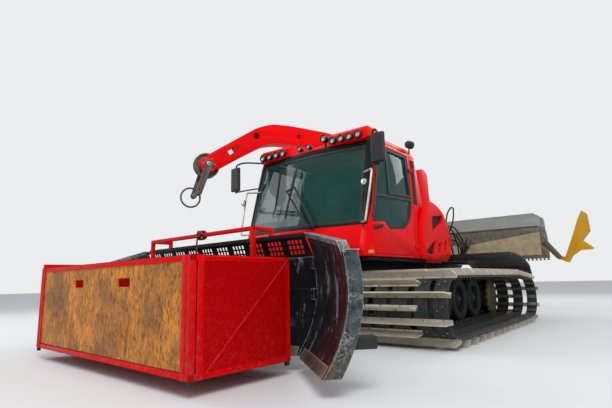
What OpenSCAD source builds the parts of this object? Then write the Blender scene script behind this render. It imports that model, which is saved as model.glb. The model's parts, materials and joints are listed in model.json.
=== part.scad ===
/* [Vehicle] */
// Half width over the ends of the long grouser bars
track_half_w = 2105; // [2050:5:2150]
// Half width over the ends of the short grouser bars
short_bar_x = 1730; // [1725:5:1760]
// Distance from the middle to the inner ends of the bars
bar_in_x = 760; // [740:5:780]
// Number of grouser bars on one track
bar_count = 64; // [48:2:80]
// Height of a grouser bar above its belt
bar_h = 85; // [60:5:90]
/* [Cab] */
// Half width of the cab at the door sill
cab_half_w = 1110; // [1080:5:1120]
// Thickness of the cab's walls and doors
wall = 45; // [35:1:55]
// Thickness of the window panes
glass_t = 12; // [8:1:16]
/* [Blade] */
// Half width of the middle part of the blade, to the wing hinges
blade_half_w = 1420; // [1400:5:1440]
// Height of the blade's top edge
blade_top_z = 1200; // [1150:10:1220]
// Length of a wing
wing_len = 1050; // [950:10:1080]
// Angle by which the left wing is folded forward
wing_fold_left = 38; // [0:1:42]
// Angle by which the right wing is folded forward
wing_fold_right = 20; // [0:1:40]
// Angle by which the whole blade is turned to the right on its kingpin
blade_yaw = 3; // [0:1:8]
/* [Carrying box] */
// Left side of the box
box_left_x = 1380; // [1300:5:1390]
// Right side of the box at its front
box_right_x = -1580; // [-1600:5:-1470]
// Right side of the box at its back
box_right_back_x = -1455; // [-1460:5:-1400]
// Front of the box
box_front_y = -4450; // [-4500:10:-4400]
// Height of the box's top rail
box_top_z = 985; // [950:5:1000]
/* [Winch] */
// Angle by which the boom is slewed to the right of straight ahead
boom_slew = 22; // [0:1:30]
// Distance of the slewing axis behind the vehicle's reference point
slew_y = 1450; // [1440:5:1460]
/* [Tiller] */
// Half width of the tiller hood
tiller_half_w = 1990; // [1900:10:2100]
// Height of the tiller rotor's shaft in the raised position
rotor_z = 1600; // [1590:5:1610]
/* [Hidden] */
$fn = 48;

red = [0.80, 0.02, 0.02];
black = [0.03, 0.03, 0.035];
steel = [0.55, 0.56, 0.58];
yellow = [0.90, 0.62, 0.05];
tan = [0.62, 0.55, 0.40];
glass = [0.1, 0.25, 0.25, 0.6];
gap = 6;

// Track loop: wheel circles as [y, z, radius to the outside of the belt]
belt_t = 22;
front_c = [-1475, 445, 360];
last_c = [1265, 445, 360];
rear_c = [2070, 428, 320];
tyre_r = 333;
wheel_ys = [-1475, -790, -105, 580, 1265];
wheel_x = [1145, 1350];
// Belts as [inner x, outer x]
belts = [[790, 910], [975, 1095], [1170, 1330], [1400, 1590], [1675, 1835], [1905, 2065]];

// Cab side outline as [y, z], from the nose up and back
cab_side = [[-1778, 1000], [-1830, 1300], [-1830, 1463], [-1500, 2680], [-1330, 2765], [-1100, 2805],
    [-150, 2835], [-60, 2790], [65, 1000]];
cab_front = [[-cab_half_w, 1000], [-cab_half_w, 1500], [-1000, 2660], [-930, 2790], [-860, 2840],
    [860, 2840], [930, 2790], [1000, 2660], [cab_half_w, 1500], [cab_half_w, 1000]];
rake = atan((1500 - 1830 + 0) / (2680 - 1463));
door_side = [[-1610, 1100], [-1610, 1200], [-1680, 1240], [-1690, 1463], [-1226, 2693], [-260, 2706],
    [-400, 1500], [-400, 1100]];
// Hinge line of the left door, from a low point to a high one
door_low = [1131, -385, 1200];
door_high = [1037, -268, 2500];
door_window = concat([[-1330, 1525], [-1628, 1500], [-1202, 2630], [-305, 2645]],
    arc([-1000, 2060], 640, -3, -68, 8), [[-900, 1460], [-1190, 1430]]);
shield = [[-1015, 1500], [-955, 2600], [955, 2600], [1015, 1500]];

// Moldboard surface: centre [y, z] and radius of its hollow front
mold_c = [-4125, 729];
mold_r = 1000;
mold_t = 25;

// Joint places as [y, z]
push_p = [-1660, 520];
tiller_p = [2490, 620];
rotor_p = [3560, rotor_z];
boom_tip = [3940, 2580];
yoke_y = -2760;
tilt_z = 620;

// Width of an arm between its lugs, and where arms and cylinders sit across the vehicle
arm_t = 60;
push_x = 420;
lift_x = 250;
tiller_x = 480;
tiller_cyl_x = 250;
// Cylinders as [y, z] of the barrel's pin and of the rod's eye
lift_a = [-1700, 900];
lift_b = [-2560, 665];
tiller_a = [2475, 820];
tiller_b = [3060, 850];
// Angle cylinders as [x, y] of the barrel's pin and of the rod's eye, on the left
angle_a = [545, -1990];
angle_b = [600, -2850];
angle_z = 600;
// Distance of the tiller behind its drawn place
tiller_back = 427;
// Pin of the tiller on its lift arms, hinge of the finisher and of the side finisher, as [y, z] and [x, z]
hood_p = [3200, 1500];
fin_p = [3935, 1745];
side_p = [2225, 1150];

// Moves every corner of a convex outline inwards by d
function unit(v) = v / norm(v);
function inset(p, d) = let (n = len(p), s = sign_area(p)) [for (i = [0 : n - 1])
    let (a = unit(p[i] - p[(i + n - 1) % n]), b = unit(p[(i + 1) % n] - p[i]),
        na = [-a[1], a[0]] * s, nb = [-b[1], b[0]] * s, m = unit(na + nb))
    p[i] + m * d / (m * na)];
function sign_area(p) = sign(area(p, 0));
function area(p, i) = i == len(p) ? 0 : p[i][0] * p[(i + 1) % len(p)][1] - p[(i + 1) % len(p)][0] * p[i][1]
    + area(p, i + 1);
function spoke(a) = [cos(a), sin(a)];
function arc(c, r, a0, a1, n) = [for (i = [0 : n]) c + r * spoke(a0 + (a1 - a0) * i / n)];

// Outline with every corner rounded off, starting up to t before it, in n steps
function softened(p, t, n) = let (m = len(p)) [for (i = [0 : m - 1]) let (
    a = p[(i + m - 1) % m] - p[i],
    b = p[(i + 1) % m] - p[i],
    ta = min(t, 0.48 * norm(a)),
    tb = min(t, 0.48 * norm(b)))
    for (k = [0 : n]) p[i] + unit(a) * ta * pow(1 - k / n, 2) + unit(b) * tb * pow(k / n, 2)];

module along_x(x0, x1) { translate([x0, 0, 0]) rotate([90, 0, 90]) linear_extrude(x1 - x0) children(); }
module along_y(y0, y1) { translate([0, y1, 0]) rotate([90, 0, 0]) linear_extrude(y1 - y0) children(); }
module both_sides() { children(); mirror([1, 0, 0]) children(); }
module block(low, high) { translate(low) cube(high - low); }
module rod_x(x0, x1, y, z, r) { translate([x0, y, z]) rotate([0, 90, 0]) cylinder(r = r, h = x1 - x0); }
module rod_y(y0, y1, x, z, r) { translate([x, y0, z]) rotate([-90, 0, 0]) cylinder(r = r, h = y1 - y0); }
// A round bar from one point to another
module bar(a, b, r) {
    d = b - a;
    translate(a) rotate([0, acos(d[2] / norm(d)), atan2(d[1], d[0])]) cylinder(r = r, h = norm(d));
}

// Track loop outline at a distance off outside the belt, round the front wheel and the sprocket
function loop(off) = concat(
    arc([front_c[0], front_c[1]], front_c[2] + off, 270, 90, 12),
    [[last_c[0], last_c[1] + last_c[2] + off]],
    arc([rear_c[0], rear_c[1]], rear_c[2] + off, 90, -90, 10),
    [[last_c[0], last_c[1] - last_c[2] - off]]);
row_len = last_c[0] - front_c[0];
low_from = [last_c[0], last_c[1] - last_c[2]];
low_to = [rear_c[0], rear_c[1] - rear_c[2]];
top_from = [rear_c[0], rear_c[1] + rear_c[2]];
top_to = [last_c[0], last_c[1] + last_c[2]];
// Ends of the loop's stretches, going back along the ground and forward over the top
s1 = row_len;
s2 = s1 + norm(low_to - low_from);
s3 = s2 + PI * rear_c[2];
s4 = s3 + norm(top_to - top_from);
s5 = s4 + row_len;
loop_len = s5 + PI * front_c[2];
function way(a, b, t, turn) = concat(a + (b - a) * t, turn);
function round_way(c, turn) = [c[0] + c[2] * cos(turn), c[1] + c[2] * sin(turn), turn];
// Place of a bar as [y, z, angle of its outward direction]
function on_loop(s) =
    s < s1 ? [front_c[0] + s, low_from[1], -90] :
    s < s2 ? way(low_from, low_to, (s - s1) / (s2 - s1), -90) :
    s < s3 ? round_way(rear_c, -90 + (s - s2) / rear_c[2] * 180 / PI) :
    s < s4 ? way(top_from, top_to, (s - s3) / (s4 - s3), 90) :
    s < s5 ? [last_c[0] - s + s4, top_to[1], 90] :
    round_way(front_c, 90 + (s - s5) / front_c[2] * 180 / PI);
module grousers(first, step) {
    for (i = [first : step : bar_count - 1]) let (p = on_loop(i * loop_len / bar_count))
        translate([p[0], p[1]]) rotate(p[2]) polygon([[-6, -32], [bar_h, -11], [bar_h, 11], [-6, 32]]);
}
module track() {
    color(black) for (b = belts) along_x(b[0], b[1]) difference() {
        polygon(loop(0));
        polygon(loop(-belt_t));
    }
    color(steel) {
        along_x(bar_in_x, short_bar_x) grousers(0, 2);
        along_x(bar_in_x, track_half_w) grousers(1, 2);
    }
}
module track_left() { track(); }
module track_right() { mirror([1, 0, 0]) track(); }

// Tyred wheel with a dished disc, its hub towards the tub
module wheel(y) {
    translate([0, y, front_c[1]]) rotate([0, 90, 0]) {
        color(black) translate([0, 0, wheel_x[0]]) rotate_extrude($fn = 40)
            polygon([[215, 10], [300, 0], [tyre_r - 2, 35], [tyre_r - 2, 170], [300, 205], [215, 195]]);
        color(steel) {
            translate([0, 0, wheel_x[0] + 60]) cylinder(r = 220, h = 25, $fn = 40);
            translate([0, 0, wheel_x[0] - 20]) cylinder(r = 70, h = 150, $fn = 32);
        }
        color(black) translate([0, 0, 700]) cylinder(r = 45, h = wheel_x[0] - 20 - 700, $fn = 32);
    }
}
module wheels_left() { for (y = wheel_ys) wheel(y); }
module wheels_right() { mirror([1, 0, 0]) wheels_left(); }
module drive_sprockets() {
    both_sides() translate([0, rear_c[0], rear_c[1]]) rotate([0, 90, 0]) {
        color([0.35, 0.36, 0.2]) translate([0, 0, 1175]) cylinder(r = 285, h = 150, $fn = 40);
        color(steel) for (x = [1105, 1345]) translate([0, 0, x]) linear_extrude(45) {
            circle(r = 275, $fn = 36);
            for (i = [0 : 13]) rotate(i * 360 / 14) translate([200, -28]) square([112, 56]);
        }
        color(black) translate([0, 0, 700]) cylinder(r = 130, h = 690, $fn = 32);
    }
}

// Outlines of the tub and of its open inside, as [y, z]
tub_side = [[-1600, 1020], [-1650, 640], [-1430, 330], [2260, 330], [2420, 560], [2420, 1020]];
tub_inside = [[-1575, 1100], [-1625, 640], [-1415, 350], [2250, 350], [2400, 560], [2400, 1100]];
module chassis_tub() {
    color(black) {
        // Tow lugs with a pin bore
        for (z = [375, 435]) difference() {
            block([-70, 2200, z], [70, 2570, z + 30]);
            translate([0, 2500, z - 5]) cylinder(r = 20, h = 40);
        }
        difference() {
            along_x(-700, 700) polygon(tub_side);
            along_x(-680, 680) polygon(tub_inside);
        }
        // Lugs and pins for the push frame, the lift cylinders and the tiller arms
        both_sides() {
            lug_pair(push_x, arm_t, push_p, 25, 60, [[-1500, 420], [-1500, 640]]);
            lug_pair(lift_x, 60, lift_a, 20, 45, [[-1580, 830], [-1580, 990]]);
            lug_pair(tiller_x, arm_t, tiller_p, 25, 60, [[2400, 500], [2400, 740]]);
            lug_pair(tiller_cyl_x, 60, tiller_a, 20, 45, [[2400, 900], [2400, 1010]]);
        }
    }
}
module engine_block() {
    color([0.3, 0.3, 0.32]) block([-430, 100, 400], [430, 1250, 990]);
    color(black) for (x = [-380, 300]) for (y = [200, 1070]) block([x, y, 350], [x + 80, y + 80, 401]);
}
module rear_deck() {
    color(black) block([-955, 980, 1020], [955, 2440, 1060]);
}
// Bent plate over the back of a track, as [y, z]
cover_side = [[1150, 1060], [1150, 1175], [1400, 1175], [2000, 1120], [2420, 985], [2560, 800], [2530, 790],
    [2395, 955], [1990, 1085], [1400, 1140], [1180, 1140], [1180, 1060]];
module track_covers() { color(black) both_sides() along_x(960, 2000) polygon(cover_side); }
module cab_floor() {
    color(black) block([-1050, -1700, 1020], [1050, 60, 1070]);
}

corner_x = cab_half_w - 200;
// Cab body as a closed volume, drawn in from its surface by d
module cab_volume(d) {
    intersection() {
        along_x(-1200, 1200) polygon(inset(cab_side, d));
        along_y(-2200, 400) polygon(inset(cab_front, d));
        translate([0, -1830 + d, 1463]) rotate([rake, 0, 0]) translate([0, 0, -1200]) linear_extrude(3200)
            polygon(concat(arc([0, 3600], 3600, -102, -78, 8), arc([corner_x - d, 260], 200, -60, 0, 4),
                [[cab_half_w - d, 3000], [d - cab_half_w, 3000]],
                arc([d - corner_x, 260], 200, -180, -120, 4)));
    }
}
module cab_shell() { difference() { cab_volume(0); cab_volume(wall); } }
module glass_shell() { difference() { cab_volume(8); cab_volume(8 + glass_t); } }
module front_zone(d) { along_y(-2200, -1300) polygon(inset(shield, d)); }
module door_zone(d) { along_x(700, 1300) polygon(inset(door_side, d)); }
module door_glass_zone() { along_x(700, 1300) polygon(door_window); }
module nose_panel() {
    color(red) difference() {
        intersection() { cab_shell(); block([-1300, -2000, 1070], [1300, -394, 1463]); }
        both_sides() door_zone(-gap);
    }
}
module windscreen() {
    color(glass) intersection() {
        glass_shell();
        front_zone(0.05);
    }
}
module cab_frame() {
    color(black) difference() {
        intersection() { cab_shell(); block([-1300, -2000, 1463], [1300, -1180, 2660]); }
        front_zone(0);
        both_sides() door_zone(-gap);
    }
}
module cab_rear() {
    color(red) difference() {
        intersection() { cab_shell(); block([-1300, -500, 1070], [1300, 200, 2660]); }
        intersection() { cab_shell(); block([-1300, -2000, 1070], [1300, -394, 1463]); }
        both_sides() door_zone(-gap);
        block([-780, -100, 1640], [780, 200, 2460]);
    }
}
// Raised lamp pod on the roof, as [y, z]
lamp_pod = [[-1500, 2660], [-1500, 2795], [-1440, 2850], [-1150, 2860], [-1060, 2775], [-1350, 2740]];
module cab_roof() {
    color(red) difference() {
        union() {
            intersection() { cab_shell(); block([-1300, -2000, 2660], [1300, 200, 2900]); }
            both_sides() along_x(375, 980) polygon(lamp_pod);
        }
        both_sides() door_zone(-3 * gap);
    }
}
// Lamps on stalks between the pods, as [x, z, radius]
stalk_lamps = [[310, 2790, 55], [20, 2735, 38], [-150, 2735, 38]];
module lamps() {
    color(steel) {
        both_sides() for (x = [470 : 140 : 890]) rod_y(-1525, -1500, x, 2724, 46);
        on_cab() for (lamp = stalk_lamps) {
            rod_y(-1520, -1440, lamp[0], lamp[1], lamp[2]);
            block([lamp[0] - 12, -1500, 2660], [lamp[0] + 12, -1465, lamp[1]]);
        }
    }
}
module beacon() { color([0.9, 0.35, 0.02]) difference() {
    union() {
        translate([820, -1000, 2780]) cylinder(r = 60, h = 90);
        translate([820, -1000, 2869]) cylinder(r = 52, h = 90);
    }
    cab_volume(0);
} }
hood_side = [[68, 1020], [68, 2500], [280, 2560], [430, 2500], [470, 2060], [640, 1880], [820, 1600],
    [880, 1300], [820, 1020]];
module rear_hood() {
    color(red) difference() {
        along_x(-1000, 1000) polygon(softened(hood_side, 70, 3));
        along_x(-970, 970) translate([0, -1]) polygon(inset(hood_side, 30));
        block([-970, 110, 1000], [970, 780, 1060]);
        // Air slots over the rear
        for (z = [2150 : 60 : 2400]) block([-800, 380, z], [800, 500, z + 25]);
    }
}
pod_outline = softened([[-330, 1060], [-300, 1500], [-180, 1800], [60, 1990], [330, 1960], [600, 1860],
    [800, 1640], [885, 1400], [860, 1180], [740, 1060]], 90, 3);
// Openings over the radiators, as [y, z]
pod_windows = [
    [[130, 1740], [90, 1490], [520, 1680], [535, 1780]],
    [[-150, 1200], [-140, 1140], [120, 1140], [240, 1390]],
    [[260, 1160], [370, 1160], [440, 1360], [320, 1310]],
    [[500, 1180], [620, 1200], [665, 1400], [565, 1360]],
    [[730, 1270], [800, 1300], [830, 1460], [760, 1440]]];
module side_pods() {
    color(red) both_sides() difference() {
        union() {
            along_x(1111, 1130) polygon(pod_outline);
            along_x(1129, 1146) polygon(inset(pod_outline, 8));
            along_x(1145, 1158) polygon(inset(pod_outline, 22));
            along_x(1157, 1165) polygon(inset(pod_outline, 45));
            along_x(1000, 1113) polygon([[100, 1110], [100, 1900], [500, 1800], [780, 1500], [780, 1110]]);
        }
        for (w = pod_windows) along_x(1120, 1200) polygon(w);
    }
}
module seats() {
    color(black) for (x = [-430, 430]) translate([x, 0, 0]) {
        block([-210, -800, 1070], [210, -400, 1330]);
        block([-240, -900, 1330], [240, -380, 1450]);
        along_x(-230, 230) polygon([[-480, 1450], [-380, 1450], [-270, 2150], [-370, 2160]]);
    }
}
module dashboard() {
    color(black) {
        along_x(-760, 760)
            polygon([[-1640, 1071], [-1640, 1420], [-1420, 1460], [-1380, 1400], [-1480, 1071]]);
        block([-120, -1380, 1071], [120, -420, 1290]);
    }
}
// What is fixed on the cab ends on its surface
module on_cab() { difference() { children(); cab_volume(0); } }
// Wiper blade across the windscreen, with two parallel arms from their spindles
blade_ends = [[-200, -1810, 1650], [-120, -1610, 2430]];
arms = [[[270, -1860, 1480], [-240, -1710, 2070]], [[200, -1860, 1475], [-210, -1710, 2010]]];
module wipers() {
    color(black) on_cab() {
        bar(blade_ends[0], blade_ends[1], 14);
        for (arm = arms) {
            bar(arm[0], arm[1], 10);
            rod_y(-1880, -1700, arm[0][0], arm[0][2], 26);
        }
    }
}
module hand_bars() {
    color(steel) on_cab() both_sides() {
        bar([1105, -1812, 1450], [1145, -1645, 2210], 15);
        bar([1107, -1804, 1490], [960, -1690, 1500], 12);
        bar([1143, -1655, 2170], [900, -1500, 2180], 12);
    }
}
// Mirror head at a distance out, on a bent tube from the roof and one from the pillar
module mirror_on_tubes(x) {
    block([x, -1640, 2250], [x + 200, -1585, 2650]);
    bar([x + 90, -1610, 2230], [x + 90, -1610, 2690], 14);
    bar([x + 90, -1610, 2680], [950, -1370, 2660], 12);
    bar([x + 90, -1610, 2240], [960, -1500, 2250], 12);
}
module mirrors() {
    color(black) on_cab() {
        mirror_on_tubes(1125);
        mirror([1, 0, 0]) mirror_on_tubes(1350);
    }
}
module door_body() {
    color(red) difference() {
        intersection() {
            cab_shell();
            door_zone(0);
        }
        door_glass_zone();
    }
}
// Stretch of the door's hinge line between two heights
module hinge_bar(z0, z1, r) {
    slope = (door_high - door_low) / (door_high[2] - door_low[2]);
    bar(door_low + slope * (z0 - door_low[2]), door_low + slope * (z1 - door_low[2]), r);
}
module door_left() {
    door_body();
    color(black) {
        along_x(cab_half_w - 2, cab_half_w + 22)
            polygon([[-1600, 1430], [-1600, 1470], [-1400, 1505], [-1390, 1465]]);
        for (z = [1200, 2380]) {
            hinge_bar(z, z + 60, 13);
            difference() {
                translate([door_low[0] - (z - 1200) * 0.07, door_low[1] + (z - 1200) * 0.09, z])
                    block([-28, -60, 5], [-6, 3, 55]);
                difference() {
                    cab_volume(-5);
                    door_zone(0);
                }
            }
        }
    }
}
module door_left_glass() {
    color(glass) intersection() {
        glass_shell();
        along_x(700, 1300) polygon(inset(door_window, 0.05));
    }
}
module door_right() { mirror([1, 0, 0]) door_left(); }
module door_right_glass() { mirror([1, 0, 0]) door_left_glass(); }

// Two lugs with a pin, on both sides of an arm of a given width; foot is the outline of their base
module lug_pair(x, w, p, pin, r, foot) {
    for (s = [-1, 1]) translate([x + s * (w / 2 + 17), 0, 0]) along_x(-12, 12) {
        translate(p) circle(r = r);
        polygon(concat(foot, [p + [0, r], p, p - [0, r]]));
    }
    rod_x(x - w / 2 - 35, x + w / 2 + 35, p[0], p[1], pin);
}
module barrel(x, a, b, len, r) {
    u = unit(b - a);
    difference() {
        union() {
            bar(concat(x, a + u * 58), concat(x, a + u * len), r);
            bar(concat(x, a + u * 10), concat(x, a + u * 70), 24);
            rod_x(x - 25, x + 25, a[0], a[1], 42);
        }
        rod_x(x - 60, x + 60, a[0], a[1], 20.5);
        bar(concat(x, a + u * 90), concat(x, b), r * 0.6);
    }
}
// Rod with an eye of wide bore at b, its far end deep in the barrel
module cylinder_rod(x, a, b, start, r, play) {
    u = unit(b - a);
    difference() {
        union() {
            bar(concat(x, a + u * start), concat(x, b - u * (play + 30)), r);
            rod_x(x - 22, x + 22, b[0], b[1], play + 42);
        }
        rod_x(x - 60, x + 60, b[0], b[1], play + 21);
    }
}
module push_frame() {
    color(black) {
        both_sides() difference() {
            union() {
                along_x(push_x - arm_t / 2, push_x + arm_t / 2) {
                    translate(push_p) circle(r = 60);
                    polygon([push_p - [0, 60], push_p + [0, 60], [-2660, 600], [-2660, 470]]);
                }
                // Bracket for the angle cylinder, outside the arm
                block([push_x, angle_a[1] - 45, 520], [push_x + 170, angle_a[1] + 45, 545]);
            }
            rod_x(300, 600, push_p[0], push_p[1], 25.5);
        }
        both_sides() translate([angle_a[0], angle_a[1], 540]) cylinder(r = 20, h = 90);
        block([-push_x, -2665, 470], [push_x, -2540, 600]);
        // Lugs of the lift cylinders
        both_sides() lug_pair(lift_x, 60, lift_b, 20, 45, [[-2640, 590], [-2545, 590]]);
        // Kingpin and its two plates
        for (z = [430, 800]) block([-90, -2840, z], [90, -2600, z + 25]);
        block([-90, -2640, 455], [90, -2600, 800]);
        translate([0, yoke_y, 426]) cylinder(r = 40, h = 403);
    }
}
module lift_barrels() { color(black) both_sides() barrel(lift_x, lift_a, lift_b, 560, 48); }
module lift_rods() { color(steel) both_sides() cylinder_rod(lift_x, lift_a, lift_b, 380, 26, 14); }
module blade_yoke() {
    color(black) on_blade() {
        difference() {
            union() {
                translate([0, yoke_y, 462]) cylinder(r = 82, h = 330);
                block([-650, -2895, 558], [650, -2805, 574]);
                block([-650, -2895, 626], [650, -2805, 642]);
                block([-510, -2895, 558], [510, -2875, 642]);
                block([-75, -2885, 500], [75, -2760, 740]);
            }
            translate([0, yoke_y, 400]) cylinder(r = 40.5, h = 450);
        }
        both_sides() translate([angle_b[0], angle_b[1], 560]) cylinder(r = 20, h = 80);
        rod_y(-3060, -2880, 0, tilt_z, 50);
    }
}
// Turns the blade and what it carries on the kingpin
module on_blade() {
    translate([0, yoke_y, 0]) rotate([0, 0, -blade_yaw]) translate([0, -yoke_y, 0]) children();
}
function yawed(p) = let (q = p - [0, yoke_y]) [q[0] * cos(blade_yaw) + q[1] * sin(blade_yaw),
    q[1] * cos(blade_yaw) - q[0] * sin(blade_yaw) + yoke_y];
// Angle cylinder in the level plane, from its pin a to the rod's eye b
module flat_barrel(a, b) {
    u = unit(b - a);
    difference() {
        union() {
            bar(concat(a + u * 38, angle_z), concat(a + u * 530, angle_z), 42);
            translate([a[0], a[1], angle_z - 25]) cylinder(r = 40, h = 50);
        }
        translate([a[0], a[1], 500]) cylinder(r = 20.5, h = 200);
        bar(concat(a + u * 90, angle_z), concat(b, angle_z), 26);
    }
}
module flat_rod(a, b) {
    u = unit(b - a);
    difference() {
        union() {
            bar(concat(a + u * 330, angle_z), concat(b - u * 50, angle_z), 20);
            translate([b[0], b[1], angle_z - 18]) cylinder(r = 58, h = 36);
        }
        translate([b[0], b[1], 500]) cylinder(r = 36, h = 200);
    }
}
function flip(p) = [-p[0], p[1]];
module angle_barrel_left() { color(black) flat_barrel(angle_a, yawed(angle_b)); }
module angle_rod_left() { color(steel) flat_rod(angle_a, yawed(angle_b)); }
module angle_barrel_right() { color(black) flat_barrel(flip(angle_a), yawed(flip(angle_b))); }
module angle_rod_right() { color(steel) flat_rod(flip(angle_a), yawed(flip(angle_b))); }

// Lowest edge of the blade and its wings
blade_low_z = 135;
// Curved blade shell between two distances across and two heights; deep is its thickness
function blade_ring(deep) = concat(arc(mold_c, mold_r + deep, -46, 34, 28), arc(mold_c, mold_r, 34, -46, 28));
module blade_shell(x0, x1, z0, z1, deep) {
    intersection() {
        block([x0 - 1, -3650, z0], [x1 + 1, -2900, z1]);
        along_x(x0, x1) polygon(blade_ring(deep));
    }
}
hinge_y = -3095;
mitre = 23;
// Heights of the hinge knuckles on the blade and on the wings
blade_knuckles = [260, 610, 890];
wing_knuckles = [150, 380, 740];
blade_knuckle_h = 100;
wing_knuckle_h = 90;
module on_wing_hinge() { translate([blade_half_w + 15, hinge_y, 0]) children(); }
// Room around the knuckles of the other piece
module knuckle_room(heights, h) {
    on_wing_hinge() for (z = heights) translate([0, 0, z - 5]) cylinder(r = 36, h = h + 10);
}
// What is cut off the blade's ends so that the wings can fold forward
module wing_mitre() {
    both_sides() on_wing_hinge() rotate([0, 0, -mitre]) block([-8, -900, 0], [300, -2, 2000]);
}
module moldboard() {
    color(black) on_blade() difference() {
        union() {
            blade_shell(-blade_half_w, blade_half_w, blade_low_z, blade_top_z - 200, mold_t);
            both_sides() for (x = [500, 940, 1380])
                blade_shell(x - 12, x + 12, blade_low_z + 40, blade_top_z - 210, 110);
            block([-450, -3150, 380], [450, -3000, 930]);
            rod_y(-3100, -2900, 0, tilt_z, 105);
            both_sides() for (z = blade_knuckles)
                block([blade_half_w - 50, hinge_y - 60, z],
                    [blade_half_w + 15, hinge_y + 20, z + blade_knuckle_h]);
        }
        rod_y(-3065, -2800, 0, tilt_z, 50.5);
        wing_mitre();
        both_sides() knuckle_room(wing_knuckles, wing_knuckle_h);
    }
    color(black) on_blade() both_sides() on_wing_hinge() {
        for (z = blade_knuckles) translate([0, 0, z]) cylinder(r = 30, h = blade_knuckle_h);
        translate([0, 0, 140]) cylinder(r = 14, h = 870);
    }
}
// Screen over the blade, as [y, z], with groups of four columns of square holes
screen_side = [[-3150, blade_top_z - 200], [-3162, blade_top_z - 200], [-3243, blade_top_z],
    [-3231, blade_top_z]];
group_step = 275;
hole_step = 50;
hole = [35, 33];
module mesh_screen() {
    color(black) on_blade() difference() {
        union() {
            along_x(-blade_half_w, blade_half_w) polygon(screen_side);
            block([-blade_half_w, -3258, blade_top_z - 20], [blade_half_w, -3215, blade_top_z + 20]);
        }
        wing_mitre();
        for (g = [0 : 9], i = [0 : 3], j = [0 : 2])
            translate([-1340 + g * group_step + i * hole_step, -3300, blade_top_z - 170 + j * 48])
                cube([hole[0], 200, hole[1]]);
    }
}
// Top edge of the left wing, sloping down to its end rim, as [x, z]
rim_top_z = 985;
wing_end_x = blade_half_w + wing_len;
wing_edge = [[blade_half_w - 50, blade_top_z + 30], [wing_end_x - 70, 1055], [wing_end_x - 45, rim_top_z]];
// Left wing, unfolded, then folded about its hinge
module wing() {
    difference() {
        union() {
            blade_shell(blade_half_w + 15, wing_end_x, blade_low_z, blade_top_z + 30, mold_t);
            // End rim, ribs and the stiffened top edge
            blade_shell(wing_end_x - 30, wing_end_x, blade_low_z, rim_top_z, 100);
            for (x = [blade_half_w + 380, blade_half_w + 720])
                blade_shell(x, x + 20, blade_low_z + 30, blade_top_z - 200, 90);
            intersection() {
                blade_shell(blade_half_w + 15, wing_end_x - 40, blade_top_z - 250, blade_top_z + 30, 62);
                along_y(-3700, -2800)
                    polygon(concat(wing_edge, [for (i = [2 : -1 : 0]) wing_edge[i] - [0, 34]]));
            }
            for (z = wing_knuckles) difference() {
                union() {
                    block([blade_half_w + 15, hinge_y - 20, z],
                        [blade_half_w + 100, hinge_y + 20, z + wing_knuckle_h]);
                    block([blade_half_w + 60, hinge_y - 400, z],
                        [blade_half_w + 100, hinge_y + 20, z + wing_knuckle_h]);
                }
                along_x(1000, 2000) polygon(concat([mold_c], arc(mold_c, mold_r + 5, -60, 60, 36)));
            }
            on_wing_hinge() for (z = wing_knuckles) translate([0, 0, z]) cylinder(r = 30, h = wing_knuckle_h);
        }
        difference() {
            on_wing_hinge() rotate([0, 0, mitre]) block([-400, -900, -10], [8, -2, 2000]);
            on_wing_hinge() for (z = wing_knuckles) translate([0, 0, z]) cylinder(r = 30, h = wing_knuckle_h);
        }
        knuckle_room(blade_knuckles, blade_knuckle_h);
        on_wing_hinge() translate([0, 0, 100]) cylinder(r = 14.5, h = 1000);
        along_y(-3700, -2800) polygon(concat(wing_edge, [[wing_end_x + 50, rim_top_z],
            [wing_end_x + 50, blade_top_z + 80], [blade_half_w - 50, blade_top_z + 80]]));
    }
}
module fold(a) { on_wing_hinge() rotate([0, 0, -a]) translate([-blade_half_w - 15, -hinge_y, 0]) children(); }
module wing_left() { color(black) on_blade() fold(wing_fold_left) wing(); }
module wing_right() { color(black) on_blade() mirror([1, 0, 0]) fold(wing_fold_right) wing(); }

box_back_y = -3450;
box_z = 120;
box_plan = [[box_left_x, box_front_y], [box_left_x, box_back_y], [box_right_back_x, box_back_y],
    [box_right_x, box_front_y]];
rack_x = [-950, 890];
rack_z = 1310;
tube = 40;
module carrying_box() {
    color(red) on_blade() {
        difference() {
            translate([0, 0, box_z]) linear_extrude(box_top_z - box_z) polygon(box_plan);
            intersection() {
                translate([0, 0, box_z + 10]) linear_extrude(1000) polygon(inset(box_plan, 8));
                block([-2000, box_front_y + 30, 0], [2000, box_back_y, 2000]);
            }
            block([box_right_x + 45, box_front_y - 1, box_z + 50],
                [box_left_x - 45, box_front_y + 40, box_top_z - 40]);
        }
        // Rack that hooks over the blade's screen
        for (x = rack_x) {
            block([x - tube / 2, box_back_y - 8, box_top_z - 45],
                [x + tube / 2, box_back_y - 8 + tube, rack_z]);
            block([x - tube / 2, box_back_y - 8, rack_z - tube], [x + tube / 2, -3175, rack_z]);
            block([x - tube / 2, -3213, 1180], [x + tube / 2, -3175, rack_z]);
        }
        block([rack_x[0], box_back_y - 8, rack_z - tube], [rack_x[1], box_back_y - 8 + tube, rack_z]);
        for (p = [[box_right_x + 1, box_front_y + 1], [box_left_x - 50, box_front_y + 1],
            [box_right_back_x + 1, box_back_y - 60], [box_left_x - 50, box_back_y - 60]])
            block([p[0], p[1], box_z - 35], [p[0] + 49, p[1] + 50, box_z + 2]);
    }
}
module plywood_front() {
    color([0.62, 0.33, 0.10]) on_blade() difference() {
        block([box_right_x + 46, box_front_y + 8, box_z + 51],
            [box_left_x - 46, box_front_y + 29, box_top_z - 41]);
        for (x = [-560, 370]) block([x - 75, box_front_y, 765], [x + 75, box_front_y + 50, 835]);
    }
}

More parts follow.
